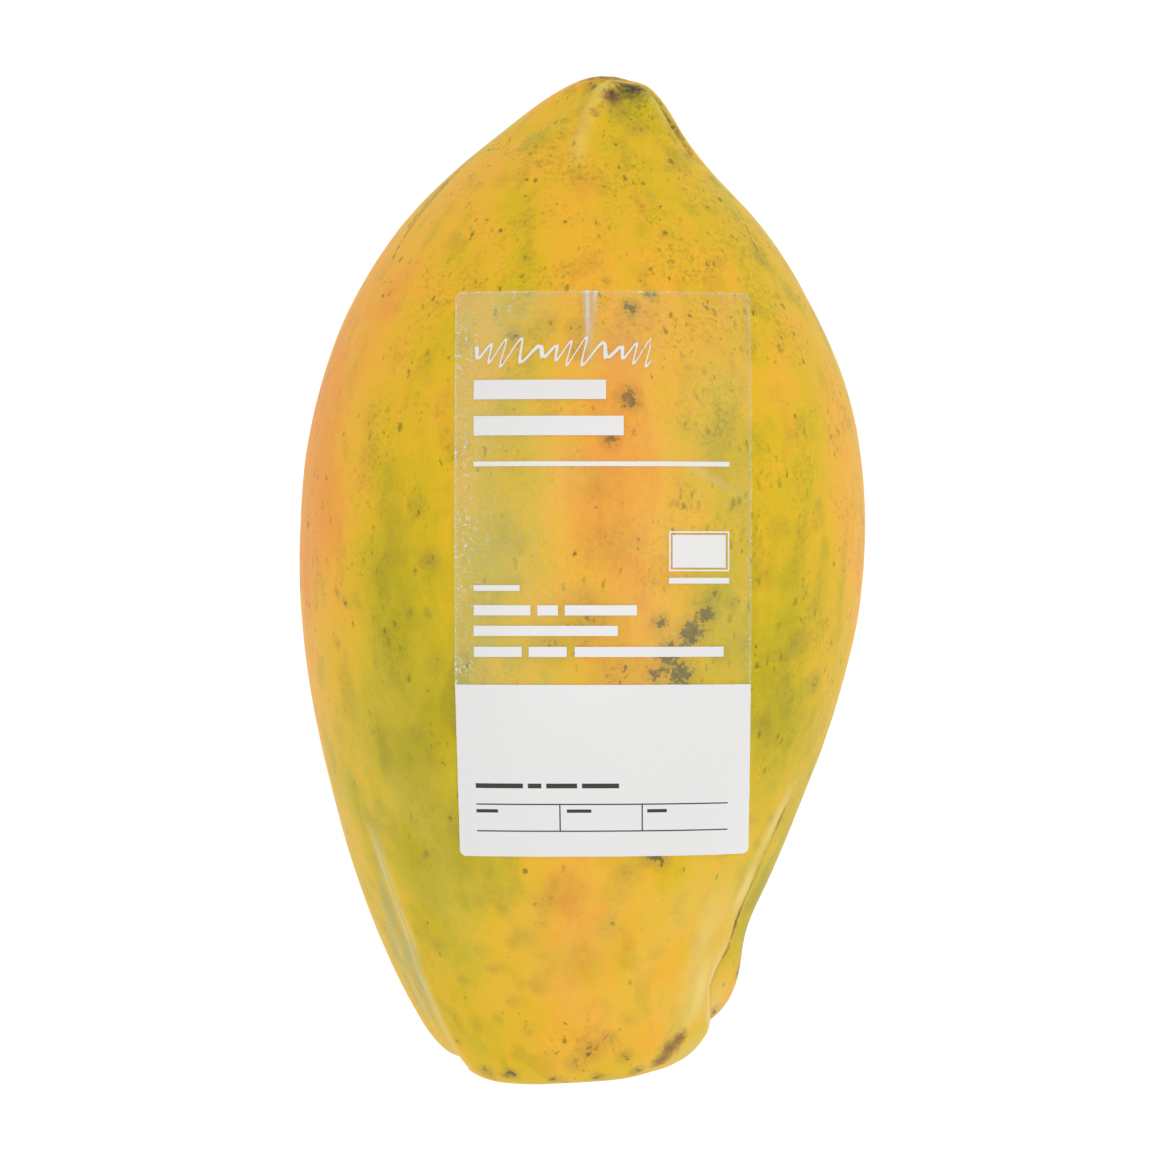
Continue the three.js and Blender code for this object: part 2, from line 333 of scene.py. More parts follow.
class PapayaSkin(bpy.types.PropertyGroup):
    subdivisions: bpy.props.IntProperty(
        name="Subdivisions", description="How often the fruit's faces are divided",
        default=2, min=0, max=2,
    )
    crease_depth: bpy.props.FloatProperty(
        name="Crease depth", description="Depth of the sharp crease by the stalk end",
        default=1.5 * MM, min=0, unit="LENGTH",
    )
    unevenness: bpy.props.FloatProperty(
        name="Unevenness", description="Height of the slow swells over the skin",
        default=0.35 * MM, min=0, unit="LENGTH",
    )
    green: colour_property("Green", "Skin that is least ripe", linear(188, 172, 28))
    turning: colour_property("Turning", "Skin that starts to turn", linear(210, 186, 32))
    golden: colour_property("Golden", "Skin between green and ripe", linear(234, 192, 36))
    amber: colour_property("Amber", "Ripe skin", linear(250, 188, 54))
    orange: colour_property("Orange", "Skin that is most ripe", linear(250, 168, 62))
    olive: colour_property("Olive", "Soft blotches in the skin", linear(150, 138, 44))
    freckle: colour_property("Freckle", "Fine dots on the skin", linear(100, 98, 36))
    # Also the colour of the painted shade along the stalk end's rim.
    bruise_and_rim_shade: colour_property("Bruise", "Grey-green marks", linear(98, 96, 66))
    cork: colour_property("Cork", "Dried brown tissue", linear(156, 118, 70))
    # Also the colour of the painted shade beside the flower's scar, in its cleft and at the tip's rim.
    dark_tissue_and_shade: colour_property("Dark cork", "Dark dried tissue", linear(74, 66, 58))
    # Painted shadow: the dark line in the right crease takes this colour, and so do the real scratches.
    crease_shadow_and_scratch: colour_property("Crevice", "Thin dark lines in the creases", linear(92, 80, 48))
    # Painted shade and sheen: the wall of the left furrow takes this grey-green colour.
    furrow_shade_and_sheen: colour_property("Wax bloom", "Grey-green bloom in the furrow", linear(194, 182, 98))
    # Painted highlights: the rims and ridges take this colour, and so do a few patches of paler skin.
    pale_skin_and_highlight: colour_property("Cream", "Pale skin on rims and ridges", linear(244, 218, 126))
    brown: colour_property("Brown", "Marks on the ripest skin", linear(150, 108, 44))
    roughness: bpy.props.FloatProperty(
        name="Roughness", description="Roughness of the waxy skin",
        default=0.5, min=0, max=1, subtype="FACTOR",
    )


class PapayaLabel(bpy.types.PropertyGroup):
    left: bpy.props.FloatProperty(
        name="Left edge", description="The label's left edge", default=-26.1 * MM, unit="LENGTH"
    )
    right: bpy.props.FloatProperty(
        name="Right edge", description="The label's right edge", default=34.6 * MM, unit="LENGTH"
    )
    bottom: bpy.props.FloatProperty(
        name="Bottom edge", description="The label's edge at the stalk end",
        default=-57.0 * MM, unit="LENGTH",
    )
    top: bpy.props.FloatProperty(
        name="Top edge", description="The label's edge at the blossom end",
        default=59.4 * MM, unit="LENGTH",
    )
    corner: bpy.props.FloatProperty(
        name="Corner radius", description="Radius of the label's corners",
        default=1.3 * MM, min=0, unit="LENGTH",
    )
    slant: bpy.props.FloatProperty(
        name="Slant", description="How far the white panel's left edge leans in at its foot",
        default=0.85 * MM, unit="LENGTH",
    )
    thickness: bpy.props.FloatProperty(
        name="Film thickness", description="Thickness of the film",
        default=0.08 * MM, min=0, unit="LENGTH",
    )
    gap: bpy.props.FloatProperty(
        name="Gap", description="How far the film stands off the skin",
        default=0.12 * MM, min=0, unit="LENGTH",
    )
    haze: bpy.props.FloatProperty(
        name="Haze", description="How milky the clear film is",
        default=0.09, min=0, max=1, subtype="FACTOR",
    )
    film: colour_property("Film", "Tint of the clear film", linear(240, 238, 184))
    # Also the colour of the film's painted highlights at its bubbles, wrinkles, folds and rim.
    white: colour_property("White", "White ink and the white panel", linear(240, 239, 238))
    dark: colour_property("Dark", "Dark ink", linear(58, 52, 50))


class PapayaStudio(bpy.types.PropertyGroup):
    floor_size: bpy.props.FloatProperty(
        name="Floor size", description="Length of the floor's sides", default=6, unit="LENGTH"
    )
    floor: colour_property("Floor", "Colour of the floor", linear(124, 124, 124))
    floor_glow: bpy.props.FloatProperty(
        name="Floor glow", description="Light that comes through the floor", default=0.89, min=0
    )
    surround: bpy.props.FloatProperty(
        name="Surround", description="Brightness of the white surround", default=0.64, min=0
    )
    camera_height: bpy.props.FloatProperty(
        name="Camera height", description="How far the camera is above the fruit's widest part",
        default=1.4, unit="LENGTH",
    )
    widest_height: bpy.props.FloatProperty(
        name="Widest height", description="How high the fruit's widest part is",
        default=0.056, unit="LENGTH",
    )
    view_width: bpy.props.FloatProperty(
        name="View width", description="Width that the picture takes in at the widest part",
        default=0.2469, unit="LENGTH",
    )
    camera_x: bpy.props.FloatProperty(
        name="Camera x", description="How far the camera is to the right of the fruit's middle",
        default=-0.4 * MM, unit="LENGTH",
    )


# Meshes and the numbers kept for their vertices.


def deselect_all():
    bpy.ops.object.select_all(action="DESELECT")


def activate(piece):
    deselect_all()
    piece.select_set(True)
    bpy.context.view_layer.objects.active = piece


def apply_modifiers(piece):
    activate(piece)
    for modifier in list(piece.modifiers):
        bpy.ops.object.modifier_apply(modifier=modifier.name)


def positions_of(mesh):
    """The mesh's vertices in mm, as rows of x, y and z."""
    flat = np.empty(len(mesh.vertices) * 3, np.float32)
    mesh.vertices.foreach_get("co", flat)
    return flat.reshape(-1, 3).astype(float) / MM


def normals_of(mesh):
    flat = np.empty(len(mesh.vertices) * 3, np.float32)
    mesh.vertices.foreach_get("normal", flat)
    return flat.reshape(-1, 3).astype(float)


def set_positions(mesh, points):
    mesh.vertices.foreach_set("co", (points * MM).astype(np.float32).ravel())
    mesh.update()


def store(mesh, name, values):
    """Keeps one number for each vertex, for a material to read."""
    attribute = mesh.attributes.new(name, "FLOAT", "POINT")
    attribute.data.foreach_set("value", values.astype(np.float32))


def smoothstep(values, low, high):
    share = np.clip((values - low) / (high - low), 0, 1)
    return share * share * (3 - 2 * share)


def swells(points, wavelength, seed, stretch=1.0):
    """Slow noise, about -1 to 1, at each point. stretch lengthens it along y."""
    scale = np.array([1, 1 / stretch, 1]) / wavelength
    shifted = points * scale + seed
    return np.array([noise.noise(Vector(p)) for p in shifted]) * 2


# The skin's shape and the patches of its colours.


class SkinPlaces:
    """Where each vertex is on the skin: y, the angle round the fruit and the radius there."""

    def __init__(self, points):
        line = np.array(MIDDLE_LINE)
        across = points[:, 0] - np.interp(points[:, 1], line[:, 0], line[:, 1])
        up = points[:, 2] - np.interp(points[:, 1], line[:, 0], line[:, 2])
        self.points = points
        self.y = points[:, 1]
        self.angle = np.degrees(np.arctan2(across, up))
        self.radius = np.hypot(across, up)

    def turned(self, angle):
        """Degrees from the given angle, -180 to 180."""
        return (self.angle - angle + 180) % 360 - 180

    def patch(self, angle, y, wide, long):
        """A soft oval, 1 at its middle: its half-width in degrees and its half-length in mm."""
        return np.exp(-((self.turned(angle) / wide) ** 2) - ((self.y - y) / long) ** 2)

    def spot(self, angle, y, radius):
        """A soft round spot on the outer skin, 1 at its middle, its radius in mm."""
        away = np.radians(self.turned(angle)) * self.radius
        in_cavity = (self.y < CAVITY["y"]) & (self.radius < CAVITY["radius"])
        centre = self.points[np.argmin(away**2 + (self.y - y) ** 2 + in_cavity * UNREACHED)]
        return self.ball(centre, radius)

    def ball(self, centre, radius):
        distance = np.linalg.norm(self.points - np.array(centre), axis=1)
        return np.exp(-((distance / radius) ** 2))

    def beside(self, line):
        """How far each vertex is beside a line along the skin, in mm, and + on its right."""
        ys, angles = np.array(line, float).T
        return np.radians(self.turned(np.interp(self.y, ys, angles))) * self.radius

    def within(self, line, first_fade, last_fade):
        """1 along the line's length, fading to 0 over some mm at its first and last end."""
        first, last = line[0][0], line[-1][0]
        return strip(self.y, first, first + first_fade, last - last_fade, last)


def bell(values, width):
    return np.exp(-((values / width) ** 2))


def strip(values, start, full, still_full, end):
    """1 between full and still_full, fading to 0 at start and at end."""
    return smoothstep(values, start, full) * (1 - smoothstep(values, still_full, end))


def layered(points, layers):
    """The sum of layers of slow noise at each point."""
    return sum(
        swells(points, wavelength, seed, stretch) * strength
        for wavelength, seed, stretch, strength in layers
    )


def along(places, table):
    """The value at each vertex's y of a table of points of y and value."""
    ys, values = np.array(table, float).T
    return np.interp(places.y, ys, values)


def bands(places, table):
    """The sum of the bands of a table at each vertex."""
    total = np.zeros(len(places.y))
    for line, fade_in, fade_out, right, width, strength in table:
        fade = places.within(line, fade_in, fade_out)
        total += bell(places.beside(line) - right, width) * fade * strength
    return total


def patches(places, table):
    """The sum of the soft ovals of a table at each vertex."""
    return sum(
        places.patch(angle, y, wide, long) * strength for angle, y, wide, long, strength in table
    )


def strongest_spot(places, table):
    """The strength of the strongest spot of a table at each vertex."""
    strongest = np.zeros(len(places.y))
    for angle, y, radius, strength in table:
        strongest = np.maximum(strongest, places.spot(angle, y, radius) * strength)
    return strongest


def crease_shadow_line(places):
    """How far each vertex is beside the painted shadow line of the right crease, in mm."""
    least, more = CREASE_SHADOW_SHOWS
    return places.beside(RIGHT_CREASE) + least + more * along(places, FRONT_LOBE_FILL)


def crease_relief(places, depth):
    """The front lobe stays full up to the right crease, and drops sharply there."""
    beside = places.beside(RIGHT_CREASE)
    furrow = bell(places.turned(SOLID_FURROW["angle"]), SOLID_FURROW["width"])
    furrow *= smoothstep(-places.y, SOLID_FURROW["starts"], SOLID_FURROW["full"])
    lobe_side = smoothstep(-beside, LOBE_SIDE["foot"], LOBE_SIDE["top"])
    height = furrow * SOLID_FURROW["depth"] * lobe_side * along(places, FRONT_LOBE_FILL)
    end_angle, end_y, wide, long, end_depth = RIGHT_LOBE_END
    height -= places.patch(end_angle, end_y, wide, long) * end_depth
    on_right = np.exp(-np.abs(beside) / CREASE_HOLLOW["right"])
    hollow = np.where(beside > 0, on_right, bell(beside, CREASE_HOLLOW["left"]))
    return height - hollow * depth * places.within(RIGHT_CREASE, *CREASE_FADES)


def skin_relief(places, settings):
    """How far the skin stands out, in mm, at each vertex."""
    points = places.points
    height = layered(points, SKIN_SWELLS) * settings.unevenness / MM
    height += crease_relief(places, settings.crease_depth / MM)
    height += bands(places, RELIEF_BANDS)
    height -= places.spot(*TIP_RECESS) * TIP_RECESS_DEPTH
    height -= places.ball(TIP_SCAR, TIP_SCAR_RADIUS) * TIP_SCAR_DEPTH
    for angle, y, radius, strength in BRUISES_AND_RIM_SHADE:
        height -= places.spot(angle, y, radius) * strength * BRUISE_DEPTH
    height += places.ball(STALK, STALK_FACE_REACH) * layered(points, STALK_SWELLS)
    return np.minimum(height, HIGHEST_RELIEF)


def skin_ripeness(places):
    """0 where the skin is green to 1 where it is ripest, in soft clouds along the fruit."""
    golden = 0.5
    return golden + patches(places, RIPENING) + layered(places.points, RIPE_CLOUDS)


def skin_blotches(places):
    """Soft olive clouds, a few mm across, which are fainter where the skin is riper."""
    clouds = smoothstep(layered(places.points, OLIVE_CLOUDS), *OLIVE_FADE)
    return clouds * np.clip(1.1 - skin_ripeness(places), *OLIVE_LIMITS)


def skin_freckles(places):
    """How thick the freckles are, gathered in loose groups, with more of them towards the tip."""
    fewest, more_by_tip = 0.06, 0.22
    density = fewest + more_by_tip * smoothstep(places.y, *FRECKLES_RISE)
    density += patches(places, FRECKLES)
    groups = np.clip(0.80 + layered(places.points, FRECKLE_GROUPS), *GROUP_LIMITS)
    return np.clip(density * groups, 0, 1)


def skin_bruises_and_rim_shade(places):
    return strongest_spot(places, BRUISES_AND_RIM_SHADE)


def skin_cork(places):
    """Dried brown tissue: the cut stalk, the recess at the tip and the healed patch."""
    stalk = smoothstep(places.ball(STALK, STALK_CORK_REACH), *STALK_CORK_FADE)
    return np.maximum(stalk, strongest_spot(places, CORK_SPOTS))


def skin_scar_and_shade(places):
    """Dark tissue and painted shade: the flower's scar, painted shade beside it and painted shadow in
    its cleft, painted shade at the tip's rim, and the stalk's dark eye.
    """
    scar = places.ball(TIP_SCAR, TIP_SCAR_RADIUS * SCAR_REACH) * SCAR_AND_SHADE_STRENGTHS["scar"]
    cleft = strip(places.beside(TIP_CLEFT), *CLEFT_SHADE) * SCAR_AND_SHADE_STRENGTHS["cleft"]
    parts = (
        strongest_spot(places, TIP_SHADES),
        cleft * places.within(TIP_CLEFT, 6, 1),
        smoothstep(places.y, *TIP_RIM_SHADE) * SCAR_AND_SHADE_STRENGTHS["tip"],
        places.ball(STALK, STALK_EYE_REACH) * SCAR_AND_SHADE_STRENGTHS["stalk_eye"],
    )
    for part in parts:
        scar = np.maximum(scar, part)
    return scar


def skin_furrow_shade_and_sheen(places):
    """Painted shade and sheen, grey-green, on the wall of the left furrow, between its outer foot and
    its edge.
    """
    streaky = np.clip(0.84 + layered(places.points, FURROW_SHADE_STREAKS), *FURROW_SHADE_LIMITS)
    edge = places.beside(FURROW_EDGE)
    foot = smoothstep(edge + along(places, FURROW_WALL), -1.2, 1.2)
    wall = foot * (1 - smoothstep(edge, -1.0, 0.8))
    return wall * strip(places.y, *FURROW_SHADE_LENGTH) * streaky * FURROW_SHADE_STRENGTH


def skin_pale_and_highlight(places):
    """Paler skin and painted highlights: painted highlights on the rim of the right crease, the furrow's
    edge and the ridges, and a few pale patches.
    """
    patchy = np.clip(0.85 + layered(places.points, CREAM_PATCHES), *CREAM_LIMITS)
    rim = strip(places.beside(RIGHT_CREASE), *CREASE_RIM_HIGHLIGHT) * CREASE_RIM_HIGHLIGHT_STRENGTH
    pale_skin_and_highlight = rim * places.within(RIGHT_CREASE, 3, 8)
    pale_skin_and_highlight += bands(places, HIGHLIGHT_BANDS) + patches(places, PALE_AND_HIGHLIGHT_PATCHES)
    return np.clip(pale_skin_and_highlight * patchy, 0, 1)


def skin_crease_shadow(places):
    """How strong the painted shadow line of the right crease is, which comes and goes along it."""
    patchy = 0.8 + layered(places.points, CREASE_SHADOW_PATCHES)
    strength = np.clip(along(places, CREASE_SHADOW_STRENGTH) * patchy, 0, 1)
    return places.within(RIGHT_CREASE, 2, 14) * strength


def line_distance(places, lines):
    """Distance to the nearest of the lines, in mm, and FAR past their ends."""
    nearest = np.full(len(places.y), FAR)
    for line in lines:
        inside = (places.y > line[0][0]) & (places.y < line[-1][0])
        distance = np.where(inside, np.abs(places.beside(line)), FAR)
        nearest = np.minimum(nearest, distance)
    return nearest


# Shader nodes and node groups.


def add_node(tree, kind, inputs=None, **settings):
    """A shader node with its settings, and with its inputs set or linked."""
    made = tree.nodes.new(kind)
    for name, value in settings.items():
        setattr(made, name, value)
    for key, value in (inputs or {}).items():
        if isinstance(value, bpy.types.NodeSocket):
            tree.links.new(value, made.inputs[key])
        else:
            made.inputs[key].default_value = value
    return made


def calculate(tree, operation, first, second=0.0, third=0.0, clamp=False):
    made = add_node(
        tree, "ShaderNodeMath", {0: first, 1: second, 2: third}, operation=operation, use_clamp=clamp
    )
    return made.outputs[0]


def fade_range(tree, value, low, high):
    """0 at low and 1 at high, with soft ends. Low may be the larger."""
    inputs = {"Value": value, "From Min": low, "From Max": high, "To Min": 0.0, "To Max": 1.0}
    made = add_node(tree, "ShaderNodeMapRange", inputs, interpolation_type="SMOOTHSTEP")
    return made.outputs[0]


def mix_colours(tree, mask, below, above, mode="MIX"):
    made = add_node(tree, "ShaderNodeMix", {0: mask}, data_type="RGBA", blend_type=mode)
    for socket, value in ((made.inputs[6], below), (made.inputs[7], above)):
        if isinstance(value, bpy.types.NodeSocket):
            tree.links.new(value, socket)
        else:
            socket.default_value = (*value, 1)
    return made.outputs[2]


def vector_maths(tree, operation, first, second, third=(0, 0, 0)):
    inputs = {0: first, 1: second, 2: third}
    return add_node(tree, "ShaderNodeVectorMath", inputs, operation=operation).outputs[0]


def noise_value(tree, vector, scale, detail, roughness):
    inputs = {"Vector": vector, "Scale": scale, "Detail": detail, "Roughness": roughness}
    return add_node(tree, "ShaderNodeTexNoise", inputs).outputs["Fac"]


def stored_value(tree, name):
    """The number that store keeps for each vertex."""
    return add_node(tree, "ShaderNodeAttribute", attribute_name=name).outputs["Fac"]


def set_inputs(shader, values):
    for name, value in values.items():
        shader.inputs[name].default_value = value


def new_group(name, inputs, outputs):
    """An empty node group, with its input and output nodes."""
    tree = bpy.data.node_groups.new(name, "ShaderNodeTree")
    for socket, (kind, default) in inputs.items():
        made = tree.interface.new_socket(socket, in_out="INPUT", socket_type=kind)
        if default is not None:
            made.default_value = default
    for socket, kind in outputs.items():
        tree.interface.new_socket(socket, in_out="OUTPUT", socket_type=kind)
    given = tree.nodes.new("NodeGroupInput")
    result = tree.nodes.new("NodeGroupOutput")
    return tree, given.outputs, result.inputs


def use_group(tree, group, inputs):
    made = add_node(tree, "ShaderNodeGroup", node_tree=group)
    for key, value in inputs.items():
        if isinstance(value, bpy.types.NodeSocket):
            tree.links.new(value, made.inputs[key])
        else:
            made.inputs[key].default_value = value
    return made.outputs[0]


# Spots differ in size and in strength, each from its least up to its least and more.
SPOT_SIZE = {"least": 0.35, "more": 0.9}
SPOT_STRENGTH = {"least": 0.25, "more": 0.75}
SPOT_CORE = 0.25  # the share of a spot's radius that is fully dark
# Where the winding marks break off: without freckles, how much sooner with them, and how softly.
MARK_BREAKS = {"at": 0.70, "sooner": 0.28, "soft": 0.07}


def spots_group():
    """Ragged spots, one at most in each cell, and more of them where it is denser."""
    tree, given, result = new_group(
        "Spots",
        {
            "Vector": ("NodeSocketVector", None),
            "Warp": ("NodeSocketVector", None),
            "Cells": ("NodeSocketFloat", 0.5),
            "Radius": ("NodeSocketFloat", 0.3),
            "Density": ("NodeSocketFloat", 0.3),
            "Raggedness": ("NodeSocketFloat", 0.5),
        },
        {"Mask": "NodeSocketFloat"},
    )
    moved = add_node(
        tree, "ShaderNodeVectorMath", {0: given["Warp"], 3: given["Raggedness"]}, operation="SCALE"
    ).outputs[0]
    place = vector_maths(tree, "ADD", given["Vector"], moved)
    cells = add_node(tree, "ShaderNodeTexVoronoi", {"Vector": place, "Scale": given["Cells"]})
    chance = add_node(tree, "ShaderNodeSeparateColor", {0: cells.outputs["Color"]}).outputs
    present = calculate(tree, "GREATER_THAN", given["Density"], chance[0])
    size = calculate(tree, "MULTIPLY_ADD", chance[1], SPOT_SIZE["more"], SPOT_SIZE["least"])
    edge = calculate(tree, "MULTIPLY", size, given["Radius"])
    core = calculate(tree, "MULTIPLY", edge, SPOT_CORE)
    disc = fade_range(tree, cells.outputs["Distance"], edge, core)
    strength = calculate(
        tree, "MULTIPLY_ADD", chance[2], SPOT_STRENGTH["more"], SPOT_STRENGTH["least"]
    )
    mask = calculate(tree, "MULTIPLY", calculate(tree, "MULTIPLY", disc, present), strength)
    tree.links.new(mask, result[0])
    return tree


def worm_marks_group():
    """Short, thin, winding marks, where the skin is thick with freckles."""
    tree, given, result = new_group(
        "Winding marks",
        {
            "Vector": ("NodeSocketVector", None),
            "Scale": ("NodeSocketFloat", 0.2),
            "Width": ("NodeSocketFloat", 0.012),
            "Gaps": ("NodeSocketFloat", 0.5),
            "Density": ("NodeSocketFloat", 0.3),
        },
        {"Mask": "NodeSocketFloat"},
    )
    field = noise_value(tree, given["Vector"], given["Scale"], 1.0, 0.5)
    off = calculate(tree, "ABSOLUTE", calculate(tree, "SUBTRACT", field, 0.5))
    line = fade_range(tree, off, given["Width"], 0.0)
    low = calculate(
        tree, "MULTIPLY_ADD", given["Density"], -MARK_BREAKS["sooner"], MARK_BREAKS["at"]
    )
    high = calculate(tree, "ADD", low, MARK_BREAKS["soft"])
    broken = fade_range(tree, given["Gaps"], low, high)
    tree.links.new(calculate(tree, "MULTIPLY", line, broken), result[0])
    return tree


def bars_mask(tree, parts, bars):
    """1 inside any of the bars, none of which overlap. parts are x and y in mm on the label."""
    mask = 0.0
    for left, right, bottom, top in bars:
        across = calculate(tree, "COMPARE", parts[0], (left + right) / 2, (right - left) / 2)
        up = calculate(tree, "COMPARE", parts[1], (bottom + top) / 2, (top - bottom) / 2)
        mask = calculate(tree, "MULTIPLY_ADD", across, up, mask)
    return mask


INK_EDGE = 0.05  # how soft the edge of the ink is, in mm
# The wavy pen stroke: the middle of its place on the label, half its length, its height and the
# width of its thinnest line in mm.
PEN_STROKE = {"Centre": (-4.0, 46.7, 0), "Half length": 18.0, "Height": 2.9, "Width": 0.26}
PEN_LEAN = 0.45
# Its waves per mm, in radians: the quick ones, and the slow ones that sway and lower them.
PEN_WAVES = {"quick": 1.9, "slow": 0.43, "sway": 1.3, "lower": 0.35}
PEN_STEEP_WIDTH = 2.2  # how much wider the stroke is where it is steep


def pen_group():
    """1 along a loose wavy pen stroke that leans to the right, within a stretch of x."""
    tree, given, result = new_group(
        "Pen stroke",
        {
            "Vector": ("NodeSocketVector", None),
            "Centre": ("NodeSocketVector", None),
            "Half length": ("NodeSocketFloat", 18.0),
            "Height": ("NodeSocketFloat", 2.4),
            "Width": ("NodeSocketFloat", 0.4),
        },
        {"Mask": "NodeSocketFloat"},
    )
    off = vector_maths(tree, "SUBTRACT", given["Vector"], given["Centre"])
    parts = add_node(tree, "ShaderNodeSeparateXYZ", {0: off}).outputs
    leaning = calculate(tree, "MULTIPLY_ADD", parts[1], -PEN_LEAN, parts[0])
    slow = calculate(tree, "SINE", calculate(tree, "MULTIPLY", leaning, PEN_WAVES["slow"]))
    quick = calculate(tree, "MULTIPLY", leaning, PEN_WAVES["quick"])
    turns = calculate(tree, "MULTIPLY_ADD", slow, PEN_WAVES["sway"], quick)
    wave = calculate(tree, "SINE", turns)
    reach = calculate(tree, "MULTIPLY_ADD", slow, PEN_WAVES["lower"], 1 - PEN_WAVES["lower"])
    wave = calculate(tree, "MULTIPLY", calculate(tree, "MULTIPLY", wave, reach), given["Height"])
    away = calculate(tree, "ABSOLUTE", calculate(tree, "SUBTRACT", parts[1], wave))
    steep = calculate(tree, "ABSOLUTE", calculate(tree, "COSINE", turns))
    width = calculate(tree, "MULTIPLY_ADD", steep, PEN_STEEP_WIDTH, 1.0)
    width = calculate(tree, "MULTIPLY", width, given["Width"])
    line = fade_range(tree, calculate(tree, "SUBTRACT", width, away), -INK_EDGE, INK_EDGE)
    ends = calculate(tree, "LESS_THAN", calculate(tree, "ABSOLUTE", parts[0]), given["Half length"])
    tree.links.new(calculate(tree, "MULTIPLY", line, ends), result[0])
    return tree


def new_material(name):
    """A material with its Principled shader and its node tree."""
    material = bpy.data.materials.new(name)
    material.use_nodes = True
    tree = material.node_tree
    return material, tree, tree.nodes["Principled BSDF"]


def in_mm(tree, socket):
    made = add_node(tree, "ShaderNodeMapping", {"Vector": socket, "Scale": (1 / MM,) * 3})
    return made.outputs[0]


# Fine patterns of the skin: scale per mm, detail and roughness.
CLOUDY = (0.5, 4.0, 0.70)
RAGGED = (0.95, 3.0, 0.62)
PORES = (1.5, 2.0, 0.6)
WARP_SCALE = 0.9  # of the pattern that makes the spots ragged
# Scales of x, y and z that lengthen a pattern along the fruit.
LONG_CLOUDS = (1, 0.55, 1)
LONG_FRECKLES = (1, 0.5, 1)
ROUND_FRECKLES = (1, 1, 1)

FINE_RIPENESS = 0.44  # how much the fine clouds change the ripeness
# The ripeness at which each colour of the skin is pure.
RIPE_COLOURS = (
    (0.06, "green"), (0.28, "turning"), (0.50, "golden"), (0.72, "amber"), (0.96, "orange"),
)
# The looks of the skin's marks: how strongly each part shows, and the values of a pattern, a patch
# or the ripeness between which it fades in.
BLOTCHES = {
    "clouds": 0.85, "grain": 0.42, "grain_fade": (0.40, 0.78), "brown_fade": (0.45, 0.75),
    "strength": 0.75,
}
# Kinds of freckle: shape, cells per mm, radius in cells, raggedness in mm, its share of the skin's
# density of freckles, how much denser it is everywhere, and its strength.
FRECKLE_KINDS = (
    (LONG_FRECKLES, 0.50, 0.34, 1.3, 1.0, 0.0, 1.0),
    (LONG_FRECKLES, 0.90, 0.42, 1.2, 0.48, 0.0, 0.7),
    (ROUND_FRECKLES, 0.17, 0.15, 2.0, 0.36, 0.02, 1.0),
)
WINDING_MARKS = {"Scale": 0.22, "Width": 0.018}
WINDING_SWIRL = (4.0, 4.0, 4.0)
WINDING_STRENGTH = 0.4
FRECKLE_STRENGTH = 0.8
BRUISE_MARKS = {
    "halo": 0.9, "core": 0.62, "core_fade": (0.82, 1.08), "edge_fade": (0.04, 0.4),
    "brown_fade": (0.72, 0.96), "strength": 0.88,
}
CORK_TISSUE = {"ragged": 0.6, "fade": (0.56, 1.2)}
# The scar's mask, which also holds painted shade by the tip.
SCAR_AND_SHADE_LOOK = {"ragged": 0.9, "fade": (0.74, 1.6)}
# The looks of the painted shadow line in the right crease and of the scratches.
SHADOW_AND_SCRATCH_LINES = {
    "wander": 1.2, "crease_shadow_fade": (0.75, 0.20), "crease_shadow_gaps": (0.32, 0.50),
    "scratch_fade": (0.62, 0.22), "scratch_gaps": (0.34, 0.50), "scratches": 0.8,
    "strength": 0.85,
}
CLOUDY_ROUGHNESS = 0.2
DRIED_ROUGHNESS = 0.3
PORE_BUMP = {"Strength": 0.4, "Distance": 0.12 * MM}
SKIN_SHADER = {
    "Specular IOR Level": 0.15, "Subsurface Weight": 0.12, "Subsurface Radius": (1.0, 0.5, 0.12),
    "Subsurface Scale": 3.0 * MM,
}


class SkinPatterns:
    """The fine patterns of the skin, which its colours, its roughness and its bump share."""

    def __init__(self, tree):
        self.place = in_mm(tree, add_node(tree, "ShaderNodeTexCoord").outputs["Object"])
        lengthened = vector_maths(tree, "MULTIPLY", self.place, LONG_CLOUDS)
        self.cloudy = noise_value(tree, lengthened, *CLOUDY)
        self.ragged = noise_value(tree, self.place, *RAGGED)
        self.pores = noise_value(tree, self.place, *PORES)
        inputs = {"Vector": self.place, "Scale": WARP_SCALE, "Detail": 1.0}
        warp = add_node(tree, "ShaderNodeTexNoise", inputs).outputs["Color"]
        self.warp = vector_maths(tree, "SUBTRACT", warp, (0.5, 0.5, 0.5))


def fine_ripeness(tree, patterns):
    """The stored ripeness with finer clouds in it."""
    stored = stored_value(tree, "ripeness")
    ripeness = calculate(tree, "MULTIPLY_ADD", patterns.cloudy, FINE_RIPENESS, stored)
    return calculate(tree, "SUBTRACT", ripeness, FINE_RIPENESS / 2, clamp=True)


def ripe_colour(tree, ripeness, settings):
    ramp = add_node(tree, "ShaderNodeValToRGB", {"Fac": ripeness})
    elements = ramp.color_ramp.elements
    while len(elements) < len(RIPE_COLOURS):
        elements.new(0.5)
    for element, (position, colour) in zip(elements, RIPE_COLOURS):
        element.position = position
        element.color = (*getattr(settings, colour), 1)
    return ramp.outputs["Color"]


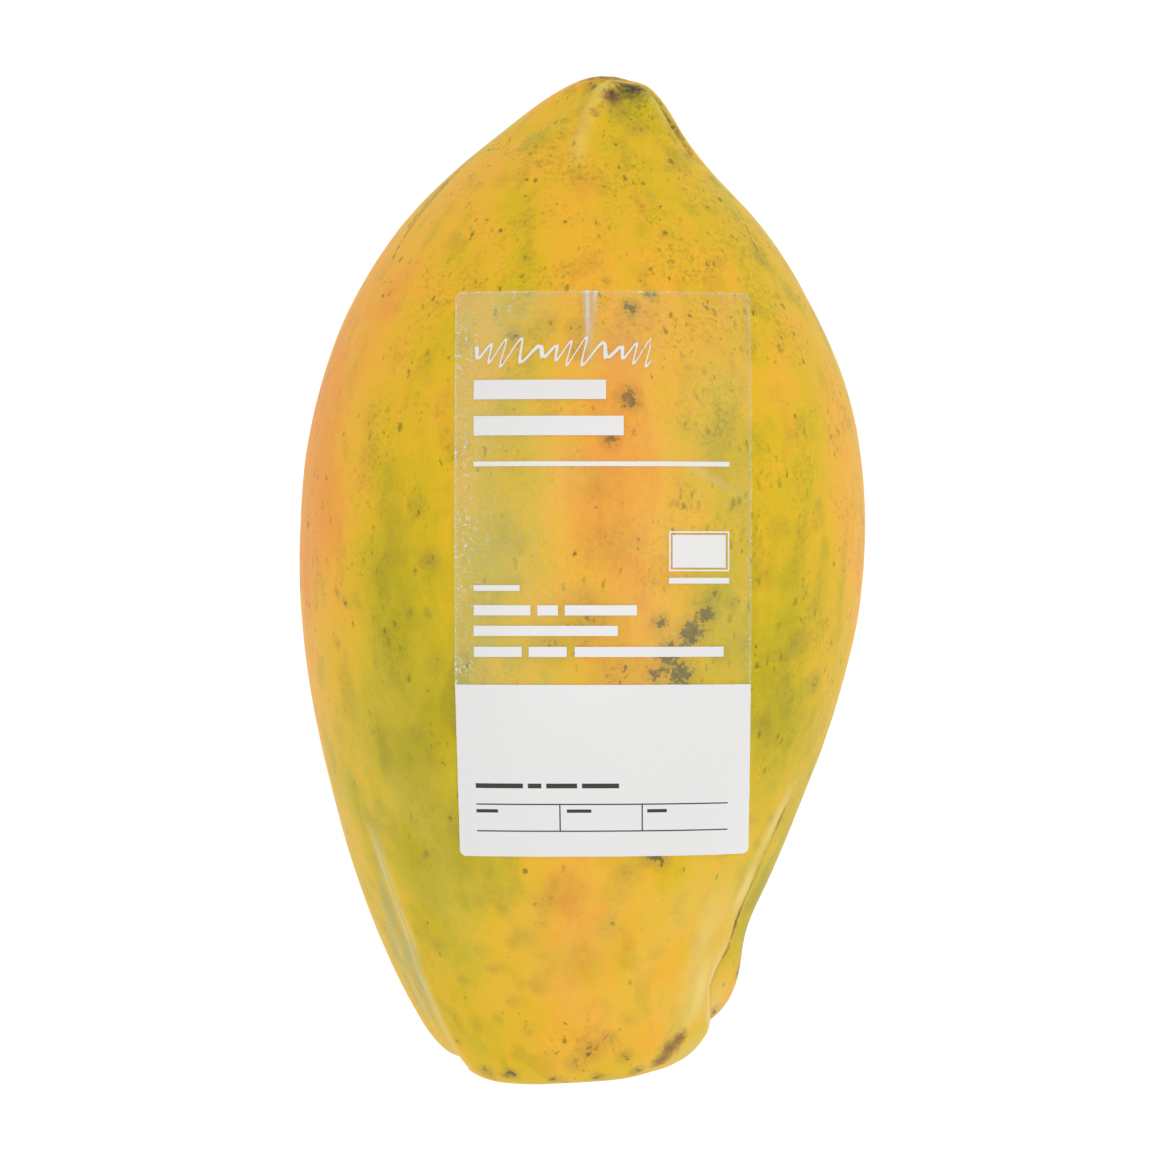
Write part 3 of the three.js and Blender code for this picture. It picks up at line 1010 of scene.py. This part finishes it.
def add_blotches(tree, patterns, ripeness, colour, settings):
    """Soft olive clouds and a fine grain, browner on riper skin."""
    look = BLOTCHES
    clouds = stored_value(tree, "blotches")
    mottled = calculate(tree, "ADD", stored_value(tree, "freckles"), clouds)
    grain = fade_range(tree, patterns.ragged, *look["grain_fade"])
    grain = calculate(tree, "MULTIPLY", grain, mottled)
    soft = calculate(tree, "MULTIPLY", patterns.cloudy, look["clouds"])
    soft = calculate(tree, "MULTIPLY", clouds, soft)
    mask = calculate(tree, "MULTIPLY_ADD", grain, look["grain"], soft, clamp=True)
    browning = fade_range(tree, ripeness, *look["brown_fade"])
    blotch = mix_colours(tree, browning, settings.olive, settings.brown)
    return mix_colours(tree, calculate(tree, "MULTIPLY", mask, look["strength"]), colour, blotch)


def add_freckles(tree, patterns, colour, settings):
    """Freckles of three kinds, and short winding marks among them."""
    density = stored_value(tree, "freckles")
    swirled = vector_maths(tree, "MULTIPLY_ADD", patterns.warp, WINDING_SWIRL, patterns.place)
    inputs = {"Vector": swirled, "Gaps": patterns.ragged, "Density": density, **WINDING_MARKS}
    winding = use_group(tree, worm_marks_group(), inputs)
    marks = calculate(tree, "MULTIPLY", winding, WINDING_STRENGTH)
    group = spots_group()
    for shape, cells, radius, raggedness, share, more, strength in FRECKLE_KINDS:
        inputs = {
            "Vector": vector_maths(tree, "MULTIPLY", patterns.place, shape),
            "Warp": patterns.warp, "Cells": cells, "Radius": radius, "Raggedness": raggedness,
            "Density": calculate(tree, "MULTIPLY_ADD", density, share, more),
        }
        spots = calculate(tree, "MULTIPLY", use_group(tree, group, inputs), strength)
        marks = calculate(tree, "MAXIMUM", marks, spots)
    mask = calculate(tree, "MULTIPLY", marks, FRECKLE_STRENGTH)
    return mix_colours(tree, mask, colour, settings.freckle)


def add_bruises_and_rim_shade(tree, patterns, ripeness, colour, settings):
    """Grey-green marks with a ragged core and a soft halo, brown on the ripest skin; the marks along the
    stalk end's rim are painted shade.
    """
    look = BRUISE_MARKS
    bruises_and_rim_shade = stored_value(tree, "bruises_and_rim_shade")
    halo = calculate(tree, "MULTIPLY", bruises_and_rim_shade, patterns.cloudy, clamp=True)
    halo = calculate(tree, "MULTIPLY", halo, look["halo"])
    core = calculate(tree, "MULTIPLY_ADD", bruises_and_rim_shade, look["core"], patterns.ragged)
    core = fade_range(tree, core, *look["core_fade"])
    mask = calculate(tree, "MAXIMUM", halo, core)
    mask = calculate(tree, "MULTIPLY", mask, fade_range(tree, bruises_and_rim_shade, *look["edge_fade"]))
    browning = fade_range(tree, ripeness, *look["brown_fade"])
    bruise_and_rim_shade = mix_colours(tree, browning, settings.bruise_and_rim_shade, settings.brown)
    return mix_colours(tree, calculate(tree, "MULTIPLY", mask, look["strength"]), colour, bruise_and_rim_shade)


def dried_tissue_and_shade(tree, patterns, name, look):
    """Where a kind of dried tissue shows, with ragged edges; the scar's mask also holds painted shade.
    """
    mask = calculate(
        tree, "MULTIPLY_ADD", patterns.ragged, look["ragged"], stored_value(tree, name)
    )
    return fade_range(tree, mask, *look["fade"])


def add_shadow_and_scratch_lines(tree, patterns, colour, settings):
    """The painted shadow line in the right crease and the thin dark lines of the scratches, with gaps in
    them.
    """
    look = SHADOW_AND_SCRATCH_LINES
    wander = calculate(
        tree, "MULTIPLY_ADD", patterns.cloudy, look["wander"], -look["wander"] / 2
    )
    crease = calculate(tree, "ADD", stored_value(tree, "crease"), wander)
    crease = fade_range(tree, calculate(tree, "ABSOLUTE", crease), *look["crease_shadow_fade"])
    gaps = fade_range(tree, patterns.ragged, *look["crease_shadow_gaps"])
    crease = calculate(tree, "MULTIPLY", crease, gaps)
    crease = calculate(tree, "MULTIPLY", crease, stored_value(tree, "crease_shadow_fade"))
    scratches = fade_range(tree, stored_value(tree, "scratch"), *look["scratch_fade"])
    gaps = fade_range(tree, patterns.ragged, *look["scratch_gaps"])
    scratches = calculate(tree, "MULTIPLY", scratches, gaps)
    scratches = calculate(tree, "MULTIPLY", scratches, look["scratches"])
    lines = calculate(tree, "MAXIMUM", crease, scratches)
    lines = calculate(tree, "MULTIPLY", lines, look["strength"])
    return mix_colours(tree, lines, colour, settings.crease_shadow_and_scratch)


def skin_material(settings):
    material, tree, shader = new_material("Waxy papaya skin")
    patterns = SkinPatterns(tree)
    ripeness = fine_ripeness(tree, patterns)
    cork = dried_tissue_and_shade(tree, patterns, "cork", CORK_TISSUE)
    scar = dried_tissue_and_shade(tree, patterns, "scar", SCAR_AND_SHADE_LOOK)

    colour = ripe_colour(tree, ripeness, settings)
    colour = add_blotches(tree, patterns, ripeness, colour, settings)
    colour = add_freckles(tree, patterns, colour, settings)
    # Painted shade and sheen on the wall of the left furrow.
    colour = mix_colours(tree, stored_value(tree, "furrow_shade_and_sheen"), colour, settings.furrow_shade_and_sheen)
    # Pale skin, and painted highlights on rims and ridges.
    colour = mix_colours(tree, stored_value(tree, "pale_skin_and_highlight"), colour, settings.pale_skin_and_highlight)
    # Bruises, and painted shade along the stalk end's rim.
    colour = add_bruises_and_rim_shade(tree, patterns, ripeness, colour, settings)
    colour = mix_colours(tree, cork, colour, settings.cork)
    # Dark scar tissue, with painted shade beside it and at the tip's rim.
    colour = mix_colours(tree, scar, colour, settings.dark_tissue_and_shade)
    # The painted shadow line in the right crease, and the scratches.
    colour = add_shadow_and_scratch_lines(tree, patterns, colour, settings)
    tree.links.new(colour, shader.inputs["Base Color"])

    smoothest = settings.roughness - CLOUDY_ROUGHNESS / 2
    roughness = calculate(tree, "MULTIPLY_ADD", patterns.cloudy, CLOUDY_ROUGHNESS, smoothest)
    for dried in (cork, scar):
        roughness = calculate(tree, "MULTIPLY_ADD", dried, DRIED_ROUGHNESS, roughness)
    tree.links.new(roughness, shader.inputs["Roughness"])

    bump = add_node(tree, "ShaderNodeBump", {"Height": patterns.pores, **PORE_BUMP})
    tree.links.new(bump.outputs[0], shader.inputs["Normal"])
    set_inputs(shader, SKIN_SHADER)
    return material


# The label's print, as places on the label seen from above, in mm in the row's frame: each bar's
# left, right, bottom and top.
WHITE_BARS = (
    (-22.2, 30.0, 23.3, 24.3),
    (-22.2, 4.8, 37.0, 41.0), (-22.2, 8.4, 29.6, 33.6),
    (17.6, 30.0, 9.75, 10.1), (17.6, 30.0, 1.9, 2.25), (17.6, 17.95, 2.25, 9.75),
    (29.65, 30.0, 2.25, 9.75), (18.35, 29.25, 2.65, 9.35), (17.6, 30.0, -0.6, 0.6),
    (-22.2, -12.8, -2.1, -0.9),
    (-22.2, -10.6, -7.1, -5.0), (-9.2, -5.0, -7.1, -5.0), (-3.6, 11.1, -7.1, -5.0),
    (-22.2, 7.2, -11.3, -9.2),
    (-22.2, -12.4, -15.6, -13.5), (-11.0, -3.2, -15.6, -13.5), (-1.6, 28.9, -15.6, -13.5),
)
DARK_BARS = (
    (-22.4, -12.6, -42.7, -41.7), (-11.6, -8.8, -42.7, -41.7), (-7.8, -1.4, -42.7, -41.7),
    (-0.4, 7.3, -42.7, -41.7),
    (-22.4, -17.9, -47.8, -47.1), (-3.6, 1.5, -47.8, -47.1), (13.1, 17.2, -47.8, -47.1),
    (-22.4, 30.0, -46.19, -45.91), (-22.4, 30.0, -51.79, -51.51),
    (-5.19, -4.91, -51.51, -46.19), (11.91, 12.19, -51.51, -46.19),
)
PANEL_TOP = -21.3  # the white panel's top edge, as a y on the label in mm

# Fine patterns of the film: scale per mm, detail and roughness.
SCUFFS = (0.9, 3.0, 0.68)
WRINKLES = (0.42, 1.0, 0.5)
# The looks of the film's marks: how strongly each part shows, and the values of a pattern or of
# their shine between which it fades in.
FILM_MARKS = {
    "scuffs": 0.34, "bubbles": 0.45, "bubble_fade": (0.56, 0.66), "wrinkles": 0.6,
    "wrinkle_fade": (0.030, 0.0), "wrinkle_gaps": (0.42, 0.56), "folds": 0.75, "rim": 0.26,
    "pale_fade": (0.15, 0.6),
}
FILM_SHADER = {"Roughness": 0.32, "Specular IOR Level": 0.5}
FILM_BACK_SHADER = {"Alpha": 0.02, "Roughness": 0.4}


def film_shine(tree, scuffs, place):
    """How white the bare film shines: painted highlights at its bubbles, wrinkles, folds and rim."""
    look = FILM_MARKS
    loose = stored_value(tree, "loose")
    bubbles = calculate(tree, "MULTIPLY", fade_range(tree, scuffs, *look["bubble_fade"]), loose)
    bubbles = calculate(tree, "MULTIPLY", bubbles, look["bubbles"])
    wrinkles = calculate(tree, "SUBTRACT", noise_value(tree, place, *WRINKLES), 0.5)
    wrinkles = calculate(tree, "ABSOLUTE", wrinkles)
    wrinkles = fade_range(tree, wrinkles, *look["wrinkle_fade"])
    wrinkles = calculate(tree, "MULTIPLY", wrinkles, loose)
    gaps = fade_range(tree, scuffs, *look["wrinkle_gaps"])
    wrinkles = calculate(tree, "MULTIPLY", wrinkles, gaps)
    shine = calculate(tree, "MULTIPLY_ADD", wrinkles, look["wrinkles"], bubbles)
    shine = calculate(tree, "MULTIPLY_ADD", stored_value(tree, "folds"), look["folds"], shine)
    return calculate(
        tree, "MULTIPLY_ADD", stored_value(tree, "rim"), look["rim"], shine, clamp=True
    )


def film_material(settings):
    """Clear film, milky in places, with solid white and dark print."""
    material, tree, shader = new_material("Printed clear film")
    uv = add_node(tree, "ShaderNodeUVMap", uv_map="Plan").outputs[0]
    left, bottom = settings.left / MM, settings.bottom / MM
    size = (settings.right / MM - left, settings.top / MM - bottom, 1)
    place = add_node(
        tree, "ShaderNodeMapping", {"Vector": uv, "Location": (left, bottom, 0), "Scale": size}
    ).outputs[0]
    parts = add_node(tree, "ShaderNodeSeparateXYZ", {0: place}).outputs
    pen = use_group(tree, pen_group(), {"Vector": place, **PEN_STROKE})
    panel = calculate(tree, "LESS_THAN", parts[1], PANEL_TOP)
    white = calculate(tree, "MAXIMUM", bars_mask(tree, parts, WHITE_BARS), pen)
    white = calculate(tree, "MAXIMUM", white, panel)
    dark = bars_mask(tree, parts, DARK_BARS)

    scuffs = noise_value(tree, place, *SCUFFS)
    shine = film_shine(tree, scuffs, place)
    milky = stored_value(tree, "haze")
    haze = calculate(tree, "MULTIPLY_ADD", scuffs, FILM_MARKS["scuffs"], milky)
    haze = calculate(tree, "SUBTRACT", haze, FILM_MARKS["scuffs"] / 2, clamp=True)
    haze = calculate(tree, "ADD", haze, shine, clamp=True)
    cover = calculate(tree, "MAXIMUM", white, dark)
    tree.links.new(calculate(tree, "MAXIMUM", haze, cover, clamp=True), shader.inputs["Alpha"])

    # The white ink and panel, and the film's painted highlights, take the white colour.
    pale = calculate(tree, "MAXIMUM", white, fade_range(tree, shine, *FILM_MARKS["pale_fade"]))
    colour = mix_colours(tree, pale, settings.film, settings.white)
    colour = mix_colours(tree, dark, colour, settings.dark)
    tree.links.new(colour, shader.inputs["Base Color"])
    set_inputs(shader, FILM_SHADER)
    return material


def film_back_material(settings):
    """The film's sticky face, which has no print."""
    material, _, shader = new_material("Film's sticky face")
    set_inputs(shader, {"Base Color": (*settings.film, 1), **FILM_BACK_SHADER})
    return material


# The pieces.


SHARED_WITHIN = 0.01 * MM  # corners of the loose triangles closer than this are one
QUAD_ANGLE = radians(60)
FILM_SMOOTH_ANGLE = radians(40)


def copy_of_node(node, name):
    """The node's mesh as a new object, its loose triangles joined and paired into quads."""
    piece = bpy.data.objects.new(name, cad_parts[node].data.copy())
    bpy.context.scene.collection.objects.link(piece)
    piece.data.name = name
    piece.data.materials.clear()
    activate(piece)
    bpy.ops.object.mode_set(mode="EDIT")
    bpy.ops.mesh.select_all(action="SELECT")
    bpy.ops.mesh.remove_doubles(threshold=SHARED_WITHIN)
    bpy.ops.mesh.customdata_custom_splitnormals_clear()
    bpy.ops.mesh.tris_convert_to_quads(face_threshold=QUAD_ANGLE, shape_threshold=QUAD_ANGLE)
    bpy.ops.object.mode_set(mode="OBJECT")
    return piece


class PAPAYA_OT_fruit(bpy.types.Operator):
    """Dresses the fruit: finer faces, creases, ridges and scars, and its mottled waxy skin"""

    bl_idname = "papaya.fruit"
    bl_label = "Build the fruit"

    def execute(self, context):
        settings = context.scene.papaya_skin
        piece = copy_of_node("fruit", "fruit_skin")
        modifier = piece.modifiers.new("Finer", "SUBSURF")
        modifier.levels = settings.subdivisions
        modifier.render_levels = settings.subdivisions
        apply_modifiers(piece)
        mesh = piece.data
        points = positions_of(mesh)
        relief = skin_relief(SkinPlaces(points), settings)
        points += normals_of(mesh) * relief[:, None]
        points[:, 2] = np.maximum(points[:, 2], 0)
        set_positions(mesh, points)
        places = SkinPlaces(points)
        store(mesh, "ripeness", skin_ripeness(places))
        store(mesh, "freckles", skin_freckles(places))
        # Bruises, and painted shade along the stalk end's rim.
        store(mesh, "bruises_and_rim_shade", skin_bruises_and_rim_shade(places))
        store(mesh, "blotches", skin_blotches(places))
        store(mesh, "cork", skin_cork(places))
        # The scar's mask also holds painted shade beside the scar and at the tip's rim.
        store(mesh, "scar", skin_scar_and_shade(places))
        # Painted shade and sheen on the wall of the left furrow.
        store(mesh, "furrow_shade_and_sheen", skin_furrow_shade_and_sheen(places))
        # Pale skin, and painted highlights on rims and ridges.
        store(mesh, "pale_skin_and_highlight", skin_pale_and_highlight(places))
        # The painted shadow line of the right crease: how far each vertex is beside it, and how strong
        # it is.
        store(mesh, "crease", np.clip(crease_shadow_line(places), -FAR, FAR))
        store(mesh, "crease_shadow_fade", skin_crease_shadow(places))
        store(mesh, "scratch", line_distance(places, SCRATCHES))
        activate(piece)
        bpy.ops.object.shade_smooth()
        mesh.materials.append(skin_material(settings))
        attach(piece, "root")
        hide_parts("fruit")
        return {"FINISHED"}


FILM_FACES = {"x_subdivisions": 76, "y_subdivisions": 146}


def film_grid(settings):
    """A flat grid over the label's place in plan, its corners rounded, above the fruit."""
    width = settings.right - settings.left
    length = settings.top - settings.bottom
    deselect_all()
    bpy.ops.mesh.primitive_grid_add(size=1, **FILM_FACES)
    piece = bpy.context.active_object
    piece.name = "film_label"
    mesh = piece.data
    mesh.name = "film_label"
    points = positions_of(mesh)
    points[:, 0] *= width
    points[:, 1] *= length
    corner = settings.corner / MM
    inner = np.array([width, length]) / 2 / MM - corner
    past = (np.abs(points[:, :2]) - inner) / corner
    in_corner = (past > 0).all(axis=1)
    u, v = past[:, 0], past[:, 1]
    round_u = u * np.sqrt(np.clip(1 - v**2 / 2, 0, 1))
    round_v = v * np.sqrt(np.clip(1 - u**2 / 2, 0, 1))
    signs = np.sign(points[:, :2])
    points[in_corner, 0] = (signs[:, 0] * (inner[0] + round_u * corner))[in_corner]
    points[in_corner, 1] = (signs[:, 1] * (inner[1] + round_v * corner))[in_corner]
    points[:, 0] += (settings.left + settings.right) / 2 / MM
    points[:, 1] += (settings.bottom + settings.top) / 2 / MM
    set_positions(mesh, points)
    return piece


def slanted(flat, settings):
    """The places of the film's grid with the white panel's left edge leaning in at its foot."""
    left, right = settings.left / MM, settings.right / MM
    low = np.clip((PANEL_TOP - flat[:, 1]) / (PANEL_TOP - settings.bottom / MM), 0, 1)
    leaning = flat.copy()
    leaning[:, 0] += low * (right - flat[:, 0]) / (right - left) * settings.slant / MM
    return leaning


def plan_map(mesh, name, settings):
    """A UV map from the label's lower left corner in plan to its upper right corner."""
    while mesh.uv_layers:
        mesh.uv_layers.remove(mesh.uv_layers[0])
    layer = mesh.uv_layers.new(name=name)
    width = settings.right - settings.left
    length = settings.top - settings.bottom
    for loop in mesh.loops:
        x, y, _ = mesh.vertices[loop.vertex_index].co
        layer.data[loop.index].uv = ((x - settings.left) / width, (y - settings.bottom) / length)


# Folds of the film that stand up from the skin: the two ends, the width and the height in mm, and
# how much light they catch.
FOLDS = (
    ((0.9, 60.0), (1.5, 43.5), 0.70, 0.16, 1.0),
    ((2.6, 60.0), (1.8, 47.0), 0.45, 0.10, 0.9),
    ((21.5, 23.8), (34.5, 16.0), 0.55, 0.03, 0.35),
)


def fold_mask(points, start, end, width):
    """A fold, 1 at its start, and fading towards its end and to both sides."""
    first = np.array(start)
    direction = np.array(end) - first
    share = np.clip(((points[:, :2] - first) @ direction) / (direction @ direction), 0, 1)
    nearest = first + share[:, None] * direction
    distance = np.linalg.norm(points[:, :2] - nearest, axis=1)
    return bell(distance, width) * (1 - share**2)


# Where the film by the label's left edge is loosest: y and half-length in mm.
LOOSE_PATCHES = ((47, 6), (26, 5), (-2, 5), (-18, 4), (8, 7))
LOOSE_WIDTH = 6.0
# The loose corner: x from the left edge and its half-width, y and its half-length in mm.
LOOSE_CORNER = (8, 8, 55, 6)
LOOSE_SHARES = {"between": 0.3, "in_patches": 0.7, "corner": 0.4, "edges": 0.5}
LOOSE_EDGE = 1.2  # how far in from every edge the film is loose, in mm
BUBBLES = {"wavelength": 3.0, "seed": 6.3, "threshold": 0.2, "height": 0.2}
# The bright line round the label's edge is a painted highlight.
RIM_WIDTH = 0.45  # of the bright line round the label's edge, in mm
# Milkiness of the clear film, in shares of the haze: everywhere, by the left edge, by the top, in
# clouds, and along the middle, where there is less. Then how far these reach in mm, the x of the
# middle, and the wavelength and seed of the clouds.
MILKINESS = {"everywhere": 0.45, "left": 1.6, "top": 0.6, "clouds": 0.7, "middle": -0.6}
MILKY_WIDTHS = {"left": 12, "top": 16, "middle": 9}
CLEAREST_X = 4
MILKY_CLOUDS = (16, 8.1)
ABOVE_FRUIT = 200  # a height in mm clear of the whole fruit


def film_looseness(flat, edge, from_left):
    """Where small air bubbles are caught: by the left edge, in patches, and along every edge."""
    in_patches = np.zeros(len(flat))
    for y, half_length in LOOSE_PATCHES:
        in_patches = np.maximum(in_patches, bell(flat[:, 1] - y, half_length))
    shares = LOOSE_SHARES["between"] + LOOSE_SHARES["in_patches"] * in_patches
    by_left = bell(from_left, LOOSE_WIDTH) * shares
    x, half_width, y, half_length = LOOSE_CORNER
    corner = bell(from_left - x, half_width) * bell(flat[:, 1] - y, half_length)
    corner *= LOOSE_SHARES["corner"]
    by_edges = bell(edge, LOOSE_EDGE) * LOOSE_SHARES["edges"]
    return np.maximum(np.maximum(by_left, by_edges), corner)


def film_haze(flat, from_left, settings):
    """How milky one face of the clear film is: more so by its left edge and its top."""
    clouds = np.clip(0.5 + swells(flat, *MILKY_CLOUDS) * 0.5, 0, 1)
    left = bell(from_left, MILKY_WIDTHS["left"])
    top = bell(flat[:, 1] - settings.top / MM, MILKY_WIDTHS["top"])
    middle = bell(flat[:, 0] - CLEAREST_X, MILKY_WIDTHS["middle"])
    milky = MILKINESS["everywhere"] + MILKINESS["left"] * left + MILKINESS["top"] * top * clouds
    milky += MILKINESS["clouds"] * clouds + MILKINESS["middle"] * middle
    return settings.haze * np.maximum(milky, 0)


def film_edge(flat, settings):
    """How far each place on the film is from its nearest edge, in mm."""
    left, right = settings.left / MM, settings.right / MM
    bottom, top = settings.bottom / MM, settings.top / MM
    across = np.minimum(flat[:, 0] - left, right - flat[:, 0])
    return np.minimum(across, np.minimum(flat[:, 1] - bottom, top - flat[:, 1]))


def draped(flat, lift, settings):
    """The film's grid laid over the fruit, each place lifted off the skin by its lift in mm."""
    fruit = bpy.data.objects["fruit_skin"].data
    surface = BVHTree.FromPolygons(
        [vertex.co for vertex in fruit.vertices], [face.vertices for face in fruit.polygons]
    )
    laid = slanted(flat, settings)
    for i, (x, y, _) in enumerate(laid.copy()):
        above = Vector((x, y, ABOVE_FRUIT)) * MM
        spot, normal, _, _ = surface.ray_cast(above, Vector((0, 0, -1)))
        if spot is None:
            raise RuntimeError("the label reaches past the fruit")
        laid[i] = np.array(spot) / MM + np.array(normal) * lift[i]
    return laid


class PAPAYA_OT_label(bpy.types.Operator):
    """Lays the printed film over the fruit's upper face, with its folds and bubbles"""

    bl_idname = "papaya.label"
    bl_label = "Lay the label"

    def execute(self, context):
        settings = context.scene.papaya_label
        piece = film_grid(settings)
        mesh = piece.data
        plan_map(mesh, "Plan", settings)
        flat = positions_of(mesh)
        folds = np.zeros(len(flat))
        lift = np.full(len(flat), settings.gap / MM)
        for start, end, width, height, light in FOLDS:
            mask = fold_mask(flat, start, end, width)
            folds = np.maximum(folds, mask * light)
            lift += mask * height
        edge = film_edge(flat, settings)
        from_left = flat[:, 0] - settings.left / MM
        loose = film_looseness(flat, edge, from_left)
        bubbles = swells(flat, BUBBLES["wavelength"], BUBBLES["seed"]) - BUBBLES["threshold"]
        lift += np.clip(bubbles, 0, 1) * loose * BUBBLES["height"]
        set_positions(mesh, draped(flat, lift, settings))
        store(mesh, "folds", folds)
        store(mesh, "loose", loose)
        store(mesh, "haze", film_haze(flat, from_left, settings))
        # A painted highlight along the label's edge.
        store(mesh, "rim", bell(edge, RIM_WIDTH))
        modifier = piece.modifiers.new("Film thickness", "SOLIDIFY")
        modifier.thickness = settings.thickness
        modifier.offset = 1
        apply_modifiers(piece)
        bpy.ops.object.shade_smooth_by_angle(angle=FILM_SMOOTH_ANGLE)
        mesh.materials.append(film_material(settings))
        mesh.materials.append(film_back_material(settings))
        for polygon in mesh.polygons:
            polygon.material_index = 0 if polygon.normal.z > 0 else 1
        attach(piece, "root")
        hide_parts("label")
        return {"FINISHED"}


# The studio.
FLOOR_DROP = 0.05 * MM  # how far the floor is below the fruit
FLOOR_SHADER = {
    "Roughness": 0.9, "Specular IOR Level": 0.2, "Emission Color": (1, 1, 1, 1),
}
SENSOR_WIDTH = 36  # in mm
FARTHEST_SEEN = 20  # in metres
LIGHTS_AIM = (0, 0, 0.05)  # a place in metres inside the fruit


def floor_material(settings):
    material, _, shader = new_material("Pale floor")
    set_inputs(shader, {"Base Color": (*settings.floor, 1), **FLOOR_SHADER})
    shader.inputs["Emission Strength"].default_value = settings.floor_glow
    return material


def add_floor(settings):
    deselect_all()
    bpy.ops.mesh.primitive_plane_add(size=settings.floor_size, location=(0, 0, -FLOOR_DROP))
    floor = bpy.context.active_object
    floor.name = "floor"
    floor.data.materials.append(floor_material(settings))


def add_surround(settings):
    world = bpy.data.worlds.new("White surround")
    world.use_nodes = True
    background = world.node_tree.nodes["Background"]
    background.inputs["Color"].default_value = (1, 1, 1, 1)
    background.inputs["Strength"].default_value = settings.surround
    bpy.context.scene.world = world


# Soft boxes of the studio: name, place, size across in metres, and power in watts.
SOFT_BOXES = (
    ("key", (0.0, -0.25, 1.5), 1.2, 4.0),
    ("fill", (0.4, 0.1, 1.2), 1.4, 2.9),
)


def add_soft_boxes():
    for name, place, size, power in SOFT_BOXES:
        deselect_all()
        bpy.ops.object.light_add(type="AREA", location=place)
        lamp = bpy.context.active_object
        lamp.name = name
        lamp.data.size = size
        lamp.data.energy = power
        towards = Vector(LIGHTS_AIM) - Vector(place)
        lamp.rotation_euler = towards.to_track_quat("-Z", "Y").to_euler()


def add_camera(settings):
    deselect_all()
    height = settings.widest_height + settings.camera_height
    bpy.ops.object.camera_add(location=(settings.camera_x, 0, height), rotation=(0, 0, 0))
    camera = bpy.context.active_object
    camera.name = "camera"
    camera.data.sensor_width = SENSOR_WIDTH
    camera.data.lens = SENSOR_WIDTH * settings.camera_height / settings.view_width
    camera.data.clip_end = FARTHEST_SEEN
    camera.data.dof.use_dof = False
    bpy.context.scene.camera = camera


class PAPAYA_OT_studio(bpy.types.Operator):
    """Sets the pale floor, the soft light and the camera that looks straight down"""

    bl_idname = "papaya.studio"
    bl_label = "Set the studio"

    def execute(self, context):
        settings = context.scene.papaya_studio
        add_floor(settings)
        add_surround(settings)
        add_soft_boxes()
        add_camera(settings)
        context.scene.view_settings.view_transform = "Standard"
        return {"FINISHED"}


# The add-on's panel and its registration.


class PAPAYA_PT_panel(bpy.types.Panel):
    """The steps that build the papaya, and the values they use"""

    bl_idname = "PAPAYA_PT_panel"
    bl_label = "Papaya"
    bl_space_type = "VIEW_3D"
    bl_region_type = "UI"
    bl_category = "Papaya"

    def draw(self, context):
        steps = (
            ("papaya.fruit", context.scene.papaya_skin),
            ("papaya.label", context.scene.papaya_label),
            ("papaya.studio", context.scene.papaya_studio),
        )
        for operator, settings in steps:
            box = self.layout.box()
            box.operator(operator)
            for name in settings.__annotations__:
                box.prop(settings, name)


CLASSES = (
    PapayaSkin,
    PapayaLabel,
    PapayaStudio,
    PAPAYA_OT_fruit,
    PAPAYA_OT_label,
    PAPAYA_OT_studio,
    PAPAYA_PT_panel,
)


def register():
    for made in CLASSES:
        bpy.utils.register_class(made)
    bpy.types.Scene.papaya_skin = bpy.props.PointerProperty(type=PapayaSkin)
    bpy.types.Scene.papaya_label = bpy.props.PointerProperty(type=PapayaLabel)
    bpy.types.Scene.papaya_studio = bpy.props.PointerProperty(type=PapayaStudio)


def unregister():
    del bpy.types.Scene.papaya_skin
    del bpy.types.Scene.papaya_label
    del bpy.types.Scene.papaya_studio
    for made in reversed(CLASSES):
        bpy.utils.unregister_class(made)


def main():
    register()
    bpy.ops.papaya.fruit()
    bpy.ops.papaya.label()
    bpy.ops.papaya.studio()


if __name__ == "__main__":
    main()
